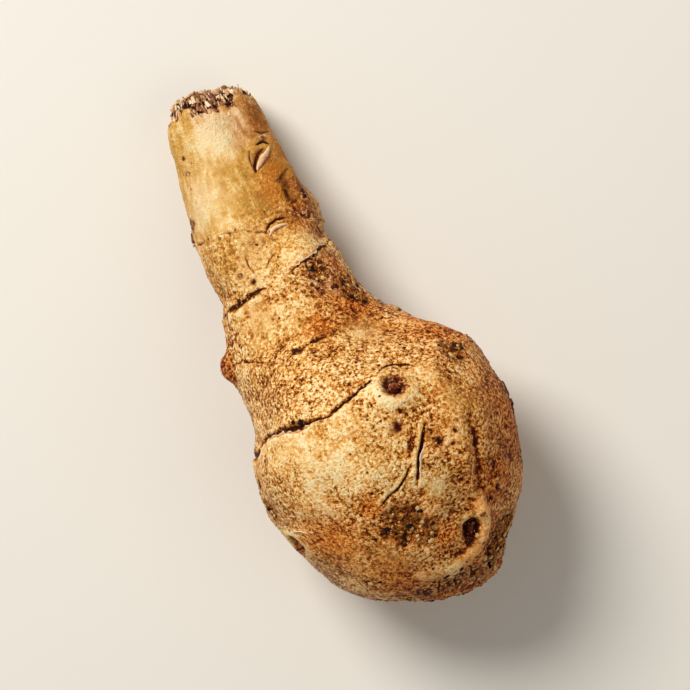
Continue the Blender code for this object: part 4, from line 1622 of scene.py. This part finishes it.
def curled_strip(name, path, width, roll, raggedness, tone, arch):
    """A sheet rooted along a path. It rolls up, or arches over, to the left of the path."""
    points, tones, faces = [], [], []
    path = smooth_path(np.array(path), STRIP_STEPS)
    for number, place in enumerate(path):
        at, normal, _, _ = tree_of_sculpted.find_nearest(Vector(place))
        ahead = Vector(path[min(number + 1, STRIP_STEPS - 1)] - path[max(number - 1, 0)])
        side = normal.cross(ahead).normalized()
        share = number / (STRIP_STEPS - 1)
        taper_here = math.sin(math.pi * (0.04 + 0.92 * share)) ** 0.6
        ripple = max(0.08, 1 + raggedness * noise.fractal(Vector(place) * 1.5, 1.0, 2.0, 2))
        radius = width * taper_here * ripple / math.radians(roll)
        for step_number in range(ROLL_STEPS + 1):
            angle = math.radians(roll) * step_number / ROLL_STEPS
            out, rise = math.sin(angle), 1 - math.cos(angle)
            if arch:
                out, rise = rise, arch * out
            points.append(at - ROOT_SUNK * normal + radius * (out * side + rise * normal))
            tones.append(tone * (0.2 + 0.8 * (step_number / ROLL_STEPS) ** 1.5))
    row = ROLL_STEPS + 1
    for number in range(STRIP_STEPS - 1):
        for step_number in range(ROLL_STEPS):
            corner = number * row + step_number
            faces.append((corner, corner + 1, corner + row + 1, corner + row))
    mesh = bpy.data.meshes.new(name)
    mesh.from_pydata([point * MM for point in points], [], faces)
    mesh.attributes.new("tone", "FLOAT", "POINT").data.foreach_set("value", tones)
    return mesh


# %% Sweep and thicken the strips
for name, strip in STRIPS.items():
    curl = link(name, curled_strip(name, *strip))
    thicken = curl.modifiers.new("thicken", "SOLIDIFY")
    thicken.thickness = STRIP_THICKNESS * MM
    thicken.offset = 0.0
    curl.data = evaluated(curl)
    curl.modifiers.clear()
    curl.data.shade_smooth()
    curl.data.materials.append(cork_material)
    finish_piece(curl)

# %% [markdown]
# ## Floor, light and camera
# The tuber lies on a plain pale floor, so large that no edge of it shows. One large soft lamp
# stands at the upper left and a weak one fills from the right, as in a simple studio. The
# camera looks straight down, turned so that the neck points to the upper left. A long lens
# from far away keeps the tuber's proportions.

# %% The floor
FLOOR_REACH = 3.0  # m, to each side
FLOOR_COLOUR = colour("E9E6DF")
corners = [(-1, -1, 0), (1, -1, 0), (1, 1, 0), (-1, 1, 0)]
floor_mesh = bpy.data.meshes.new("floor")
floor_mesh.from_pydata([FLOOR_REACH * Vector(corner) for corner in corners], [], [(0, 1, 2, 3)])
floor = link("floor", floor_mesh)
floor_finish = Finish("pale_floor", 0.8)
floor_finish.shader.inputs["Base Color"].default_value = FLOOR_COLOUR
floor.data.materials.append(floor_finish.material)
floor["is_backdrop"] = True
print("the floor is", 2 * FLOOR_REACH, "m wide")

# %% The lamps and the soft light of the room
TURN = math.radians(25)  # between the tuber's length and the upright of the picture
MIDDLE = Vector((0.9, 16.1, 17.0)) * MM
PICTURE_UP = Vector((math.sin(TURN), math.cos(TURN), 0))
PICTURE_RIGHT = Vector((math.cos(TURN), -math.sin(TURN), 0))
UP_AXIS = Vector((0, 0, 1))
ROOM_COLOUR, ROOM_STRENGTH = (1.0, 0.99, 0.97, 1.0), 0.24


def area_light(name, direction, distance, size, watts, tint):
    data = bpy.data.lights.new(name, "AREA")
    data.shape = "DISK"
    data.size, data.energy, data.color = size, watts, tint
    lamp = link(name, data)
    lamp.location = MIDDLE + direction.normalized() * distance
    lamp.rotation_euler = (-direction).to_track_quat("-Z", "Y").to_euler()
    print(name, "lamp:", watts, "W,", size, "m across")


towards_key = PICTURE_UP - PICTURE_RIGHT + 1.5 * UP_AXIS
towards_fill = PICTURE_RIGHT - 0.4 * PICTURE_UP + 1.6 * UP_AXIS
area_light("key", towards_key, distance=0.7, size=0.34, watts=5.0, tint=(1.0, 0.96, 0.90))
area_light("fill", towards_fill, distance=0.8, size=0.6, watts=0.8, tint=(1.0, 0.88, 0.72))
world = bpy.data.worlds.new("soft_room")
world.use_nodes = True
background = world.node_tree.nodes["Background"]
background.inputs["Color"].default_value = ROOM_COLOUR
background.inputs["Strength"].default_value = ROOM_STRENGTH
bpy.context.scene.world = world

# %% The camera
VIEW_WIDTH = 93 * MM
CAMERA_HEIGHT = 520 * MM
camera_data = bpy.data.cameras.new("camera")
camera_data.lens = camera_data.sensor_width * CAMERA_HEIGHT / VIEW_WIDTH
camera = link("camera", camera_data)
camera.location = MIDDLE + CAMERA_HEIGHT * UP_AXIS
camera.rotation_euler = (0, 0, -TURN)
bpy.context.scene.camera = camera
bpy.context.scene.view_settings.view_transform = "Standard"
print("lens:", round(camera_data.lens), "mm")

# %% The dressed box
low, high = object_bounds()
print("dressed box", [[round(v / MM, 2) for v in corner] for corner in (low, high)])
